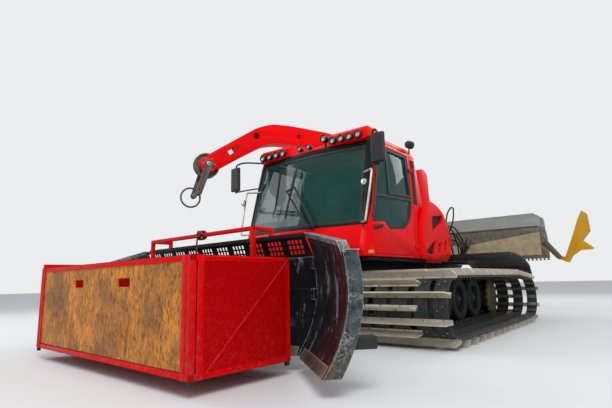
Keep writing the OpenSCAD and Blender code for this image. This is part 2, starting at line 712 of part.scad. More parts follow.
// Side plate of the winch's frame, as [y, z]
winch_side = [[1000, 1060], [1050, 1500], [1250, 1880], [1650, 1880], [1900, 1500], [2000, 1060]];
module winch_body() {
    color(black) {
        both_sides() along_x(480, 520) polygon(winch_side);
        block([-520, 1150, 1880], [520, 1750, 1915]);
        translate([0, slew_y, 1914]) cylinder(r = 360, h = 46);
        translate([0, slew_y, 1914]) cylinder(r = 180, h = 100);
        block([-480, 1030, 1060], [480, 1970, 1090]);
    }
    color(steel) {
        rod_x(-480.5, 480.5, 1450, 1440, 60);
        rod_x(-440, 440, 1450, 1440, 230);
        for (x = [-440, 415]) rod_x(x, x + 25, 1450, 1440, 320);
    }
}
// Boom outline as [distance out from the slewing axis, height]
boom_top = [[-340, 2050], [-330, 2420], [-100, 2900], [250, 3180], [850, 3340], [1850, 3410], [2500, 3420],
    [2850, 3400], [3120, 3300], [3560, 3000], [4010, 2690]];
boom_low = [[3850, 2480], [3420, 2760], [2980, 3030], [2700, 3095], [2300, 3090], [1000, 3000], [620, 2860],
    [400, 2600], [330, 2300], [330, 2050]];
module on_boom() { translate([0, slew_y, 0]) rotate([0, 0, -boom_slew]) children(); }
// Plate in the boom's plane between two distances across it
module boom_plate(x0, x1) { rotate([90, 0, -90]) translate([0, 0, -x1]) linear_extrude(x1 - x0) children(); }
module winch_boom() {
    color(red) on_boom() {
        difference() {
            union() {
                boom_plate(-125, 125) {
                    polygon(softened(concat(boom_top, boom_low), 110, 3));
                    translate(boom_tip) circle(r = 130);
                }
                translate([0, 0, 1966]) cylinder(r = 350, h = 90);
            }
            boom_plate(-50, 50) {
                translate(boom_tip) circle(r = 215);
                translate([boom_tip[0], 2200]) square([300, 500]);
            }
            translate([0, 0, 1900]) cylinder(r = 181, h = 122);
            boom_plate(-200, 200) {
                translate([3140, 3150]) circle(r = 38);
                translate([3545, 2855]) rotate(-36) translate([-95, -38]) square([190, 76]);
            }
        }
        boom_plate(-150, 150) translate(boom_tip) circle(r = 45);
    }
}
module boom_sheave() {
    color(steel) on_boom() boom_plate(-38, 38) difference() {
        translate(boom_tip) circle(r = 200);
        translate(boom_tip) circle(r = 45.5);
    }
}
// Hook pin and centre of the rope ring, in the boom's plane
ring_c = boom_tip + [235, -520];
ring_r = 145;
hook_p = ring_c + (ring_r - 50) * unit([-170, 110]);
module rope_guide() {
    color(steel) on_boom() {
        for (x = [-152, 131]) boom_plate(x, x + 21) difference() {
            union() {
                translate(boom_tip) circle(r = 75);
                polygon([boom_tip + [-60, 0], boom_tip + [60, -20], hook_p + [45, 0], hook_p + [-45, -20]]);
                translate(hook_p) circle(r = 45);
            }
            translate(boom_tip) circle(r = 45.6);
            translate(hook_p) circle(r = 30.5);
        }
        boom_plate(-160, 160) translate(hook_p) circle(r = 30);
    }
}
module rope_ring() {
    color(steel) on_boom() translate([0, -ring_c[0], ring_c[1]]) rotate([0, 90, 0])
        rotate_extrude($fn = 40) translate([ring_r, 0]) circle(r = 14, $fn = 12);
}

module behind() { translate([0, tiller_back, 0]) children(); }
module tiller_arms() {
    far_p = hood_p + [tiller_back, 0];
    mid = tiller_p + (far_p - tiller_p) * 0.5;
    arm = [tiller_p + [-30, 50], tiller_p + [50, -30], mid + [55, -75], far_p + [40, -50], far_p + [-50, 30],
        mid + [-45, 60]];
    color(black) {
        both_sides() difference() {
            along_x(tiller_x - arm_t / 2, tiller_x + arm_t / 2) {
                translate(tiller_p) circle(r = 60);
                translate(far_p) circle(r = 60);
                polygon(arm);
            }
            rod_x(300, 700, tiller_p[0], tiller_p[1], 25.5);
            rod_x(300, 700, far_p[0], far_p[1], 25.5);
        }
        rod_x(-tiller_x, tiller_x, mid[0], mid[1], 45);
        both_sides() lug_pair(tiller_cyl_x, 60, tiller_b, 20, 45, [mid + [-45, 0], mid + [45, 0]]);
    }
}
module tiller_barrels() { color(black) both_sides() barrel(tiller_cyl_x, tiller_a, tiller_b, 430, 48); }
module tiller_rods() {
    color(steel) both_sides() cylinder_rod(tiller_cyl_x, tiller_a, tiller_b, 200, 26, 17);
}
// Sheet over the rotor, open below, and its end plates, as [y, z]
hood_sheet = [[3300, 1480], [3290, 1800], [3420, 2100], [3760, 2100], [3900, 1820], [3870, 1780],
    [3730, 2060], [3440, 2060], [3330, 1790], [3330, 1480]];
hood_end = [[3310, 1480], [3290, 1800], [3420, 2100], [3760, 2100], [3900, 1820], [3860, 1560], [3700, 1450],
    [3400, 1450]];
// Flap over the front, higher at its ends, as [x, z]
flap_low_z = 1205;
flap_end_x = tiller_half_w - 10;
flap = [[-flap_end_x, flap_low_z], [flap_end_x, flap_low_z], [flap_end_x, 1680], [560, 1500], [-560, 1500],
    [-flap_end_x, 1680]];
// Plate that carries a side finisher, as [x, z]
side_plate = [[tiller_half_w - 60, 1560], [tiller_half_w, 1560], side_p + [40, 20], side_p + [20, -45],
    side_p + [-45, -20], [tiller_half_w - 60, 1450]];
module tiller_hood() {
    behind() {
        color(steel) {
            difference() {
                along_x(-tiller_half_w, tiller_half_w) polygon(hood_sheet);
                hood_corners();
            }
            both_sides() difference() {
                along_x(tiller_half_w - 20, tiller_half_w) difference() {
                    polygon(hood_end);
                    translate(rotor_p) circle(r = 46);
                }
                hood_corners();
            }
            both_sides() lug_pair(tiller_x, arm_t, hood_p, 25, 60, [[3315, 1530], [3315, 1700]]);
            both_sides() for (y = [3670, 3790]) along_y(y, y + 20) difference() {
                polygon(side_plate);
                translate(side_p) circle(r = 20);
            }
            both_sides() rod_y(3665, 3815, side_p[0], side_p[1], 20);
        }
        color(tan) along_y(3284, 3301) polygon(flap);
    }
}
// What is cut off the upper corners at the hood's ends
module hood_corners() {
    both_sides() along_y(3200, 4000) polygon([[tiller_half_w - 140, 2110], [tiller_half_w + 10, 2000],
        [tiller_half_w + 10, 2200], [tiller_half_w - 140, 2200]]);
}
module tiller_rotor() {
    color(black) behind() {
        rod_x(-tiller_half_w + 30, tiller_half_w - 30, rotor_p[0], rotor_p[1], 95);
        rod_x(-tiller_half_w - 30, tiller_half_w + 30, rotor_p[0], rotor_p[1], 45);
        for (i = [0 : 26]) translate([-1885 + i * 145, rotor_p[0], rotor_p[1]]) rotate([i * 50, 0, 0])
            for (a = [0 : 120 : 240]) rotate([a, 0, 0]) block([-12, -20, 80], [12, 20, 200]);
    }
}
// Curved sheet behind the rotor, from its hinge down, as [y, z] from the hinge
fin_line = [[-15, -5], [100, -185], [140, -345], [100, -590]];
comb_pitch = 80;
module finisher() {
    back = [for (i = [1 : 3]) fin_line[i] + [18, 5]];
    front = [for (i = [3 : -1 : 0]) fin_line[i]];
    color(tan) behind() {
        along_x(-tiller_half_w, tiller_half_w) translate(fin_p) polygon(concat([[15, 5]], back, front));
        rod_x(-tiller_half_w + 30, tiller_half_w - 30, fin_p[0], fin_p[1], 14);
        for (x = [10 - tiller_half_w : comb_pitch : tiller_half_w - 50])
            block([x, fin_p[0] + 102, fin_p[1] - 635], [x + 40, fin_p[0] + 116, fin_p[1] - 585]);
    }
}
// Folded-up side finisher: its long plate, the short shoe across it and the arm to its hinge, as [x, z]
side_long = [[2320, 1070], [2380, 1040], [2530, 1300], [2820, 1670], [2800, 2020], [2735, 2075], [2650, 1900],
    [2490, 1480]];
side_shoe = [[2590, 1420], [2700, 1465], [2870, 1310], [2860, 1275], [2650, 1270], [2510, 1170]];
side_arm = [side_p + [0, 40], side_p - [0, 40], [2375, 1050], [2400, 1130]];
module side_finisher() {
    color(yellow) {
        along_y(3560, 3600) polygon(side_long);
        along_y(3599, 3900) difference() {
            polygon(side_long);
            polygon(inset(side_long, 22));
        }
        along_y(3540, 3561) polygon(side_shoe);
    }
    color(black) along_y(3700, 3780) difference() {
        union() {
            translate(side_p) circle(r = 45);
            polygon(side_arm);
        }
        translate(side_p) circle(r = 20.5);
    }
}
module side_finisher_left() { behind() side_finisher(); }
module side_finisher_right() { behind() mirror([1, 0, 0]) side_finisher(); }

chassis_tub();
engine_block();
rear_deck();
track_covers();
cab_floor();
track_left();
track_right();
wheels_left();
wheels_right();
drive_sprockets();
nose_panel();
windscreen();
cab_frame();
cab_rear();
cab_roof();
rear_hood();
side_pods();
seats();
dashboard();
wipers();
hand_bars();
mirrors();
lamps();
beacon();
door_left();
door_left_glass();
door_right();
door_right_glass();
push_frame();
lift_barrels();
lift_rods();
blade_yoke();
angle_barrel_left();
angle_rod_left();
angle_barrel_right();
angle_rod_right();
moldboard();
mesh_screen();
carrying_box();
plywood_front();
wing_left();
wing_right();
winch_body();
winch_boom();
boom_sheave();
rope_guide();
rope_ring();
tiller_arms();
tiller_barrels();
tiller_rods();
tiller_hood();
tiller_rotor();
finisher();
side_finisher_left();
side_finisher_right();
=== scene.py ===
import json
import math
import bpy
from mathutils import Matrix, Vector


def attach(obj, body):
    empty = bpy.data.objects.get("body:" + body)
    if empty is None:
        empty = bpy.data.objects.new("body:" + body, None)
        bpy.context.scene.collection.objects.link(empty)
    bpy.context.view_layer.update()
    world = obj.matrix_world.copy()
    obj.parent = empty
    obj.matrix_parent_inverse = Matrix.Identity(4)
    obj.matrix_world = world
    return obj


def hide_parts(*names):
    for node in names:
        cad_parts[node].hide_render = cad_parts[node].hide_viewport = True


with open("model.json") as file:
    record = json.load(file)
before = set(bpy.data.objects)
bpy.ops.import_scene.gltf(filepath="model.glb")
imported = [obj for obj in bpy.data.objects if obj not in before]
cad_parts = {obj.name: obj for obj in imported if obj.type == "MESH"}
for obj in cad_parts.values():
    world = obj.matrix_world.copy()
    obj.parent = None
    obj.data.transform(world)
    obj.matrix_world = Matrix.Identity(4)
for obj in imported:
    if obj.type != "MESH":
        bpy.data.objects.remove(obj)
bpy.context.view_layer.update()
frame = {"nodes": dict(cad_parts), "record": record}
nodes = frame["nodes"]
print("frame loaded:", len(nodes), "nodes")


# Small helpers for modelling with operators

def activate(piece):
    bpy.ops.object.select_all(action="DESELECT")
    piece.select_set(True)
    bpy.context.view_layer.objects.active = piece


def named(name):
    piece = bpy.context.active_object
    piece.name = name
    piece.data.name = name
    return piece


def settle(piece):
    # the place goes into the mesh, the object stays at the origin
    activate(piece)
    bpy.ops.object.transform_apply(location=True, rotation=True, scale=True)
    return piece


def modify(piece, kind, **settings):
    activate(piece)
    modifier = piece.modifiers.new(kind, kind)
    for key, value in settings.items():
        setattr(modifier, key, value)
    bpy.ops.object.modifier_apply(modifier=modifier.name)
    return piece


def openEdit(piece, kind=None):
    activate(piece)
    bpy.ops.object.mode_set(mode="EDIT")
    if kind:
        bpy.ops.mesh.select_mode(type=kind)
    bpy.ops.mesh.select_all(action="SELECT")


def leaveEdit(outward=False):
    if outward:
        bpy.ops.mesh.select_all(action="SELECT")
        bpy.ops.mesh.normals_make_consistent(inside=False)
    bpy.ops.object.mode_set(mode="OBJECT")


def editFaces(piece, pick=lambda face: True):
    # opens edit mode with only the picked faces selected
    openEdit(piece, "FACE")
    bpy.ops.mesh.select_all(action="DESELECT")
    leaveEdit()
    for face in piece.data.polygons:
        face.select = bool(pick(face))
    bpy.ops.object.mode_set(mode="EDIT")


def extrude(step):
    bpy.ops.mesh.extrude_region_move(TRANSFORM_OT_translate={"value": step})


def smooth(piece, degrees=35):
    # smooth shading, broken where faces meet at more than this angle
    activate(piece)
    bpy.ops.object.shade_smooth_by_angle(angle=math.radians(degrees))
    return piece


def soften(piece, width, segments=2, angle=30):
    # rounded edges and smooth shading by angle
    if width > 0:
        modify(piece, "BEVEL", width=width, segments=segments, limit_method="ANGLE",
               angle_limit=math.radians(angle), use_clamp_overlap=True)
    return smooth(piece)


def moved(piece, placing):
    piece.data.transform(placing)
    if placing.determinant() < 0:
        piece.data.flip_normals()
    return piece


def blockPiece(name, low, high, bevel=0.003):
    low, high = Vector(low), Vector(high)
    bpy.ops.mesh.primitive_cube_add(size=1, location=(low + high) / 2)
    piece = named(name)
    piece.scale = high - low
    return soften(settle(piece), bevel)


def rodPiece(name, start, end, radius, sides=24, bevel=0.0):
    start, end = Vector(start), Vector(end)
    bpy.ops.mesh.primitive_cylinder_add(vertices=sides, radius=radius, depth=(end - start).length,
                                        location=(start + end) / 2)
    piece = named(name)
    piece.rotation_mode = "QUATERNION"
    piece.rotation_quaternion = (end - start).to_track_quat("Z", "Y")
    return soften(settle(piece), bevel)


def ringPiece(name, radius, wire, steps, sides):
    bpy.ops.mesh.primitive_torus_add(major_radius=radius, minor_radius=wire, major_segments=steps,
                                     minor_segments=sides)
    return named(name)


def outlinePiece(name, points, fill="NGON"):
    # one closed outline through the points, filled or empty
    bpy.ops.mesh.primitive_circle_add(vertices=len(points), radius=1, fill_type=fill)
    piece = named(name)
    for vertex, point in zip(piece.data.vertices, points):
        vertex.co = point
    return piece


def platePiece(name, outline, toWorld, thickness, bevel=0.002):
    # flat outline of (u, v) points, stood up by toWorld and given its thickness along the plate's normal
    piece = outlinePiece(name, [(*point, 0) for point in outline])
    editFaces(piece)
    extrude((0, 0, thickness))
    leaveEdit(outward=True)
    return soften(moved(piece, toWorld), bevel)


def pipePiece(name, points, radius, sides=8, closed=False):
    # a bent pipe, hose or bar through the points
    bpy.ops.curve.primitive_bezier_curve_add()
    curve = bpy.context.active_object
    curve.location = (0, 0, 0)
    spline = curve.data.splines[0]
    spline.bezier_points.add(len(points) - 2)
    for knot, point in zip(spline.bezier_points, points):
        knot.co = point
        knot.handle_left_type = knot.handle_right_type = "AUTO"
    spline.use_cyclic_u = closed
    curve.data.dimensions = "3D"
    curve.data.resolution_u = 8
    curve.data.bevel_depth = radius
    curve.data.bevel_resolution = max(0, sides // 2 - 2)
    curve.data.use_fill_caps = not closed
    activate(curve)
    bpy.ops.object.convert(target="MESH")
    return smooth(settle(named(name)), 50)


def turnedPiece(name, profile, centre, axis, steps=32, closed=False):
    # profile of (radius, height) points turned about the axis through the centre
    piece = outlinePiece(name, [(radius, 0, height) for radius, height in profile], "NOTHING")
    openEdit(piece, "EDGE")
    if not closed:
        bpy.ops.mesh.select_all(action="DESELECT")
        leaveEdit()
        last = len(profile) - 1
        for edge in piece.data.edges:
            edge.select = set(edge.vertices) == {0, last}
        bpy.ops.object.mode_set(mode="EDIT")
        bpy.ops.mesh.delete(type="EDGE")
    bpy.ops.mesh.select_all(action="SELECT")
    bpy.ops.mesh.spin(steps=steps, angle=2 * math.pi, center=(0, 0, 0), axis=(0, 0, 1))
    bpy.ops.mesh.select_all(action="SELECT")
    bpy.ops.mesh.remove_doubles(threshold=0.00005)
    leaveEdit(outward=True)
    turn = Vector(axis).to_track_quat("Z", "Y").to_matrix().to_4x4()
    return smooth(moved(piece, Matrix.Translation(centre) @ turn))


def copyOf(piece, placing, name=None):
    twin = piece.copy()
    twin.data = piece.data.copy()
    bpy.context.scene.collection.objects.link(twin)
    if name:
        twin.name = name
    return moved(twin, placing)


def discard(*pieces):
    for piece in pieces:
        bpy.data.objects.remove(piece)


def joined(name, pieces):
    bpy.ops.object.select_all(action="DESELECT")
    for piece in pieces:
        piece.select_set(True)
    bpy.context.view_layer.objects.active = pieces[0]
    if len(pieces) > 1:
        bpy.ops.object.join()
    return named(name)


def turnAbout(point, axis, degrees):
    point = Vector(point)
    return Matrix.Translation(point) @ Matrix.Rotation(math.radians(degrees), 4,
                                                       axis) @ Matrix.Translation(-point)


acrossX = Matrix.Scale(-1, 4, (1, 0, 0))


def bothSides(piece):
    return [piece, copyOf(piece, acrossX)]


def leftAndRight(pieces):
    # the pieces of the left side and their mirrored copies, each with the side's name
    twins = [copyOf(piece, acrossX, piece.name.replace("Left", "Right")) for piece in pieces]
    return ("left", pieces), ("right", twins)


def sideOn(x, y=0, z=0):
    # turns a flat outline of (y, z) points to lie across the X axis
    return Matrix(((0, 0, 1, x), (1, 0, 0, y), (0, 1, 0, z), (0, 0, 0, 1)))


def frontOn(y):
    # turns a flat outline of (x, z) points to lie across the Y axis
    return Matrix(((1, 0, 0, 0), (0, 0, 1, y), (0, 1, 0, 0), (0, 0, 0, 1)))


def around(piece, centre, count, first=0):
    # copies of the piece set round an axis along X, in its place
    ring = [copyOf(piece, turnAbout(centre, "X", 360 * number / count + first)) for number in range(count)]
    discard(piece)
    return ring


def boltCircle(name, count, place, reach, radius):
    # six-sided bolts where place(cosine, sine) says, each standing out by reach
    bolts = []
    for number in range(count):
        turn = math.radians(360 * number / count)
        start = Vector(place(math.cos(turn), math.sin(turn)))
        bolts.append(rodPiece(name, start, start + Vector(reach), radius, 6))
    return bolts


def shifted(place, offsets):
    return [tuple(start + part for start, part in zip(place, offset)) for offset in offsets]


def finish(piece, body, slot, material=None, replaces=()):
    # a piece without a material of its own has its slot's
    piece.data.materials.clear()
    piece.data.materials.append(material or finishes[slot])
    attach(piece, body)
    if replaces:
        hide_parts(*replaces)
    return piece


# Materials: every pattern reads Object coordinates, in metres

def newMaterial(name, colour, roughness, metallic=0.0, **more):
    material = bpy.data.materials.new(name)
    material.use_nodes = True
    shader = material.node_tree.nodes["Principled BSDF"]
    settings = {"Base_Color": (*colour, 1), "Roughness": roughness, "Metallic": metallic, **more}
    for key, value in settings.items():
        shader.inputs[key.replace("_", " ")].default_value = value
    return material, material.node_tree, shader


def feed(shader, socket, source):
    shader.id_data.links.new(source, shader.inputs[socket])


def shaded(colour, share):
    return tuple(share * part for part in colour)


def addNode(tree, kind, settings=None, **values):
    made = tree.nodes.new(kind)
    for key, value in (settings or {}).items():
        setattr(made, key, value)
    for key, value in values.items():
        made.inputs[key.replace("_", " ")].default_value = value
    return made


def place(tree, stretch=(1, 1, 1), turn=(0, 0, 0)):
    coordinates = addNode(tree, "ShaderNodeTexCoord")
    mapping = addNode(tree, "ShaderNodeMapping", Scale=stretch, Rotation=turn)
    tree.links.new(coordinates.outputs["Object"], mapping.inputs["Vector"])
    return mapping.outputs["Vector"]


def noise(tree, scale, detail=5.0, roughness=0.6, stretch=(1, 1, 1), turn=(0, 0, 0)):
    made = addNode(tree, "ShaderNodeTexNoise", Scale=scale, Detail=detail, Roughness=roughness)
    tree.links.new(place(tree, stretch, turn), made.inputs["Vector"])
    return made.outputs["Fac"]


def ramp(tree, source, low, high, first=0.0, last=1.0):
    # the source between low and high becomes first to last
    made = addNode(tree, "ShaderNodeMapRange", {"clamp": True}, From_Min=low, From_Max=high, To_Min=first,
                   To_Max=last)
    tree.links.new(source, made.inputs["Value"])
    return made.outputs["Result"]


def maths(tree, operation, first, second=None):
    made = addNode(tree, "ShaderNodeMath", {"operation": operation, "use_clamp": operation != "POWER"})
    for slotNumber, value in enumerate((first, second)):
        if isinstance(value, (int, float)):
            made.inputs[slotNumber].default_value = value
        elif value is not None:
            tree.links.new(value, made.inputs[slotNumber])
    return made.outputs[0]


def blendColour(tree, amount, first, second):
    made = addNode(tree, "ShaderNodeMix", {"data_type": "RGBA"})
    for socket, value in ((made.inputs[0], amount), (made.inputs[6], first), (made.inputs[7], second)):
        if isinstance(value, (tuple, list)):
            socket.default_value = (*value, 1)
        elif isinstance(value, (int, float)):
            socket.default_value = value
        else:
            tree.links.new(value, socket)
    return made.outputs[2]


def addBump(tree, shader, height, strength=0.3, distance=0.002):
    made = addNode(tree, "ShaderNodeBump", Strength=strength, Distance=distance)
    tree.links.new(height, made.inputs["Height"])
    feed(shader, "Normal", made.outputs["Normal"])


def heightAbove(tree):
    coordinates = addNode(tree, "ShaderNodeTexCoord")
    split = addNode(tree, "ShaderNodeSeparateXYZ")
    tree.links.new(coordinates.outputs["Object"], split.inputs["Vector"])
    return split.outputs["Z"]


def wornEdges(tree, radius, amount):
    # 1 along sharp edges, broken up by noise
    rounded = addNode(tree, "ShaderNodeBevel", {"samples": 4}, Radius=radius)
    geometry = addNode(tree, "ShaderNodeNewGeometry")
    dot = addNode(tree, "ShaderNodeVectorMath", {"operation": "DOT_PRODUCT"})
    tree.links.new(rounded.outputs["Normal"], dot.inputs[0])
    tree.links.new(geometry.outputs["Normal"], dot.inputs[1])
    edge = ramp(tree, dot.outputs["Value"], 0.995, 0.9)
    chips = ramp(tree, noise(tree, 14.0, 8.0), 0.62 - 0.25 * amount, 0.66 - 0.2 * amount)
    return maths(tree, "MULTIPLY", edge, chips)


def paintMaterial(name, colour, roughness=0.32, dirt=0.25, dirtTop=1.2, chips=0.0, coat=0.25,
                  dirtColour=(0.2, 0.17, 0.14), primer=(0.1, 0.07, 0.06)):
    # gloss paint with clouding, thrown-up dirt that fades upwards, and chipped edges
    material, tree, shader = newMaterial(name, colour, roughness, Specular_IOR_Level=0.09, Coat_Weight=coat,
                                         Coat_Roughness=0.12)
    clouds = ramp(tree, noise(tree, 2.2, 4.0), 0.35, 0.7, 0.0, 0.35)
    shade = blendColour(tree, clouds, colour, shaded(colour, 0.72))
    specks = ramp(tree, noise(tree, 26.0, 10.0, 0.7), 0.52, 0.7)
    low = ramp(tree, heightAbove(tree), dirtTop, 0.1, 0.05, 1.0)
    film = maths(tree, "MULTIPLY", maths(tree, "MULTIPLY", specks, low), dirt)
    shade = blendColour(tree, film, shade, dirtColour)
    gloss = ramp(tree, noise(tree, 9.0, 6.0), 0.3, 0.75, roughness - 0.06, roughness + 0.14)
    if chips:
        worn = wornEdges(tree, 0.008, chips)
        shade = blendColour(tree, worn, shade, primer)
        gloss = maths(tree, "ADD", gloss, maths(tree, "MULTIPLY", worn, 0.25))
    feed(shader, "Base Color", shade)
    feed(shader, "Roughness", gloss)
    addBump(tree, shader, noise(tree, 60.0, 6.0), 0.08, 0.002)
    return material


def metalMaterial(name, colour, roughness, dirt, metallic=1.0, dirtColour=(0.1, 0.09, 0.08)):
    # worn bare metal with dull patches and a fine broken grain
    material, tree, shader = newMaterial(name, colour, roughness, metallic)
    patches = ramp(tree, noise(tree, 6.0, 8.0, 0.65), 0.45, 0.72, 0.0, dirt)
    grain = noise(tree, 40.0, 4.0, 0.5)
    shade = blendColour(tree, ramp(tree, grain, 0.3, 0.7, 0.0, 0.3), colour, shaded(colour, 0.6))
    feed(shader, "Base Color", blendColour(tree, patches, shade, dirtColour))
    feed(shader, "Roughness", ramp(tree, grain, 0.3, 0.7, roughness - 0.1, roughness + 0.15))
    feed(shader, "Metallic", ramp(tree, patches, 0.0, 1.0, metallic, metallic * 0.3))
    addBump(tree, shader, grain, 0.15, 0.001)
    return material


def rubberMaterial(name, colour, roughness=0.75, dust=0.25, dustColour=(0.22, 0.21, 0.19)):
    material, tree, shader = newMaterial(name, colour, roughness)
    film = ramp(tree, noise(tree, 12.0, 9.0, 0.7), 0.42, 0.75, 0.0, dust)
    feed(shader, "Base Color", blendColour(tree, film, colour, dustColour))
    feed(shader, "Roughness", ramp(tree, noise(tree, 30.0, 5.0), 0.3, 0.7, roughness - 0.12, roughness + 0.1))
    addBump(tree, shader, noise(tree, 150.0, 4.0), 0.25, 0.001)
    return material


def plasticMaterial(name, colour, roughness=0.5, grain=0.1):
    material, tree, shader = newMaterial(name, colour, roughness)
    haze = ramp(tree, noise(tree, 8.0, 6.0), 0.4, 0.75, 0.0, 0.3)
    feed(shader, "Base Color", blendColour(tree, haze, colour, tuple(0.6 * part + 0.01 for part in colour)))
    addBump(tree, shader, noise(tree, 200.0, 2.0), grain, 0.0006)
    return material


def glassMaterial(name, colour, cover):
    # tinted pane: cover is how much of what is behind it the tint hides
    material, tree, shader = newMaterial(name, colour, 0.03, Alpha=cover, Specular_IOR_Level=0.45)
    smears = ramp(tree, noise(tree, 3.0, 5.0, 0.6), 0.35, 0.75)
    feed(shader, "Base Color", blendColour(tree, smears, colour, shaded(colour, 1.5)))
    return material


def hoodMaterial(name, upper, lower, seam, chipColour):
    # grey-olive sheet metal above the seam, dirtier and browner below it, with pale chipped streaks
    material, tree, shader = newMaterial(name, upper, 0.5, 0.2)
    streaks = noise(tree, 9.0, 8.0, 0.7, (0.25, 1, 1))
    high = blendColour(tree, ramp(tree, streaks, 0.35, 0.7, 0.0, 0.5), upper, shaded(upper, 0.6))
    earth = ramp(tree, noise(tree, 22.0, 9.0, 0.75, (0.6, 1, 0.5)), 0.35, 0.65)
    low = blendColour(tree, earth, lower, shaded(lower, 0.4))
    chips = maths(tree, "MULTIPLY", ramp(tree, noise(tree, 7.0, 12.0, 0.8, (0.4, 1, 1)), 0.6, 0.66),
                  ramp(tree, heightAbove(tree), seam - 0.22, seam - 0.05))
    low = blendColour(tree, chips, low, chipColour)
    above = ramp(tree, heightAbove(tree), seam - 0.01, seam + 0.01)
    feed(shader, "Base Color", blendColour(tree, above, low, high))
    feed(shader, "Roughness", ramp(tree, streaks, 0.3, 0.7, 0.42, 0.62))
    addBump(tree, shader, streaks, 0.2, 0.003)
    return material


def plywoodMaterial(name):
    # orange veneer with large dark stains, short dark ticks, pale rubbed spots and fine black cracks
    material, tree, shader = newMaterial(name, (0.4, 0.17, 0.05), 0.55)
    grain = noise(tree, 16.0, 9.0, 0.75, (1, 1, 0.35))
    shade = blendColour(tree, ramp(tree, grain, 0.38, 0.6), (0.82, 0.29, 0.008), (0.36, 0.115, 0.005))
    large = ramp(tree, noise(tree, 2.4, 6.0, 0.65, (1, 1, 0.8)), 0.42, 0.66)
    shade = blendColour(tree, maths(tree, "MULTIPLY", large, 0.75), shade, (0.085, 0.036, 0.01))
    ticks = noise(tree, 70.0, 5.0, 0.7, (1, 1, 0.3))
    shade = blendColour(tree, ramp(tree, ticks, 0.55, 0.61, 0.0, 0.85), shade, (0.03, 0.012, 0.003))
    pale = ramp(tree, noise(tree, 45.0, 4.0, 0.6, (0.4, 1, 1)), 0.62, 0.7, 0.0, 0.4)
    shade = blendColour(tree, pale, shade, (0.66, 0.36, 0.09))
    cracks = ramp(tree, noise(tree, 9.0, 12.0, 0.8, (1, 1, 0.16)), 0.6, 0.64, 0.0, 0.9)
    shade = blendColour(tree, cracks, shade, (0.018, 0.01, 0.006))
    feed(shader, "Base Color", shade)
    feed(shader, "Roughness", ramp(tree, ticks, 0.4, 0.65, 0.45, 0.75))
    addBump(tree, shader, ticks, 0.35, 0.002)
    return material


def bladeMaterial(name, colour, scratchColour):
    # glossy worn black with fine upright streaks, long thin scratches and rubbed patches
    material, tree, shader = newMaterial(name, colour, 0.3, Specular_IOR_Level=0.28)
    lines = noise(tree, 4.0, 9.0, 0.75, (1.6, 1, 0.45), (0.1, 0.3, 0.5))
    thin = maths(tree, "MULTIPLY", ramp(tree, lines, 0.575, 0.6), ramp(tree, lines, 0.64, 0.615))
    streaks = ramp(tree, noise(tree, 42.0, 6.0, 0.6, (1, 0.25, 0.07)), 0.56, 0.74, 0.0, 0.55)
    streaks = maths(tree, "MULTIPLY", streaks, ramp(tree, noise(tree, 2.6, 4.0), 0.42, 0.62))
    rubbed = ramp(tree, noise(tree, 3.0, 10.0, 0.7), 0.64, 0.74, 0.0, 0.6)
    mark = maths(tree, "ADD", maths(tree, "MULTIPLY", thin, 0.8), maths(tree, "ADD", streaks, rubbed))
    mark = maths(tree, "MULTIPLY", mark, 0.7)
    shade = blendColour(tree, mark, colour, scratchColour)
    feed(shader, "Base Color", blendColour(tree, wornEdges(tree, 0.01, 0.9), shade, scratchColour))
    feed(shader, "Roughness", ramp(tree, mark, 0.0, 1.0, 0.3, 0.55))
    addBump(tree, shader, noise(tree, 18.0, 8.0), 0.12, 0.004)
    return material


def rimMaterial(name, dark, light, lineColour, earth):
    # scraped blue-grey steel: dark clouds, wandering pale lines, bright edges and an earthy foot
    material, tree, shader = newMaterial(name, dark, 0.45, 0.2)
    clouds = noise(tree, 11.0, 10.0, 0.72)
    shade = blendColour(tree, ramp(tree, clouds, 0.4, 0.62), dark, light)
    wander = noise(tree, 16.0, 4.0, 0.6)
    lines = maths(tree, "MULTIPLY", ramp(tree, wander, 0.478, 0.495), ramp(tree, wander, 0.525, 0.508))
    lines = maths(tree, "MULTIPLY", lines, ramp(tree, noise(tree, 4.0, 3.0), 0.38, 0.5))
    shade = blendColour(tree, maths(tree, "MULTIPLY", lines, 0.8), shade, lineColour)
    foot = maths(tree, "MULTIPLY", ramp(tree, heightAbove(tree), 0.5, 0.2),
                 ramp(tree, clouds, 0.35, 0.55, 0.2, 0.9))
    shade = blendColour(tree, foot, shade, earth)
    feed(shader, "Base Color", blendColour(tree, wornEdges(tree, 0.008, 1.4), shade, (0.5, 0.42, 0.26)))
    feed(shader, "Roughness", ramp(tree, clouds, 0.3, 0.7, 0.34, 0.6))
    addBump(tree, shader, clouds, 0.25, 0.003)
    return material


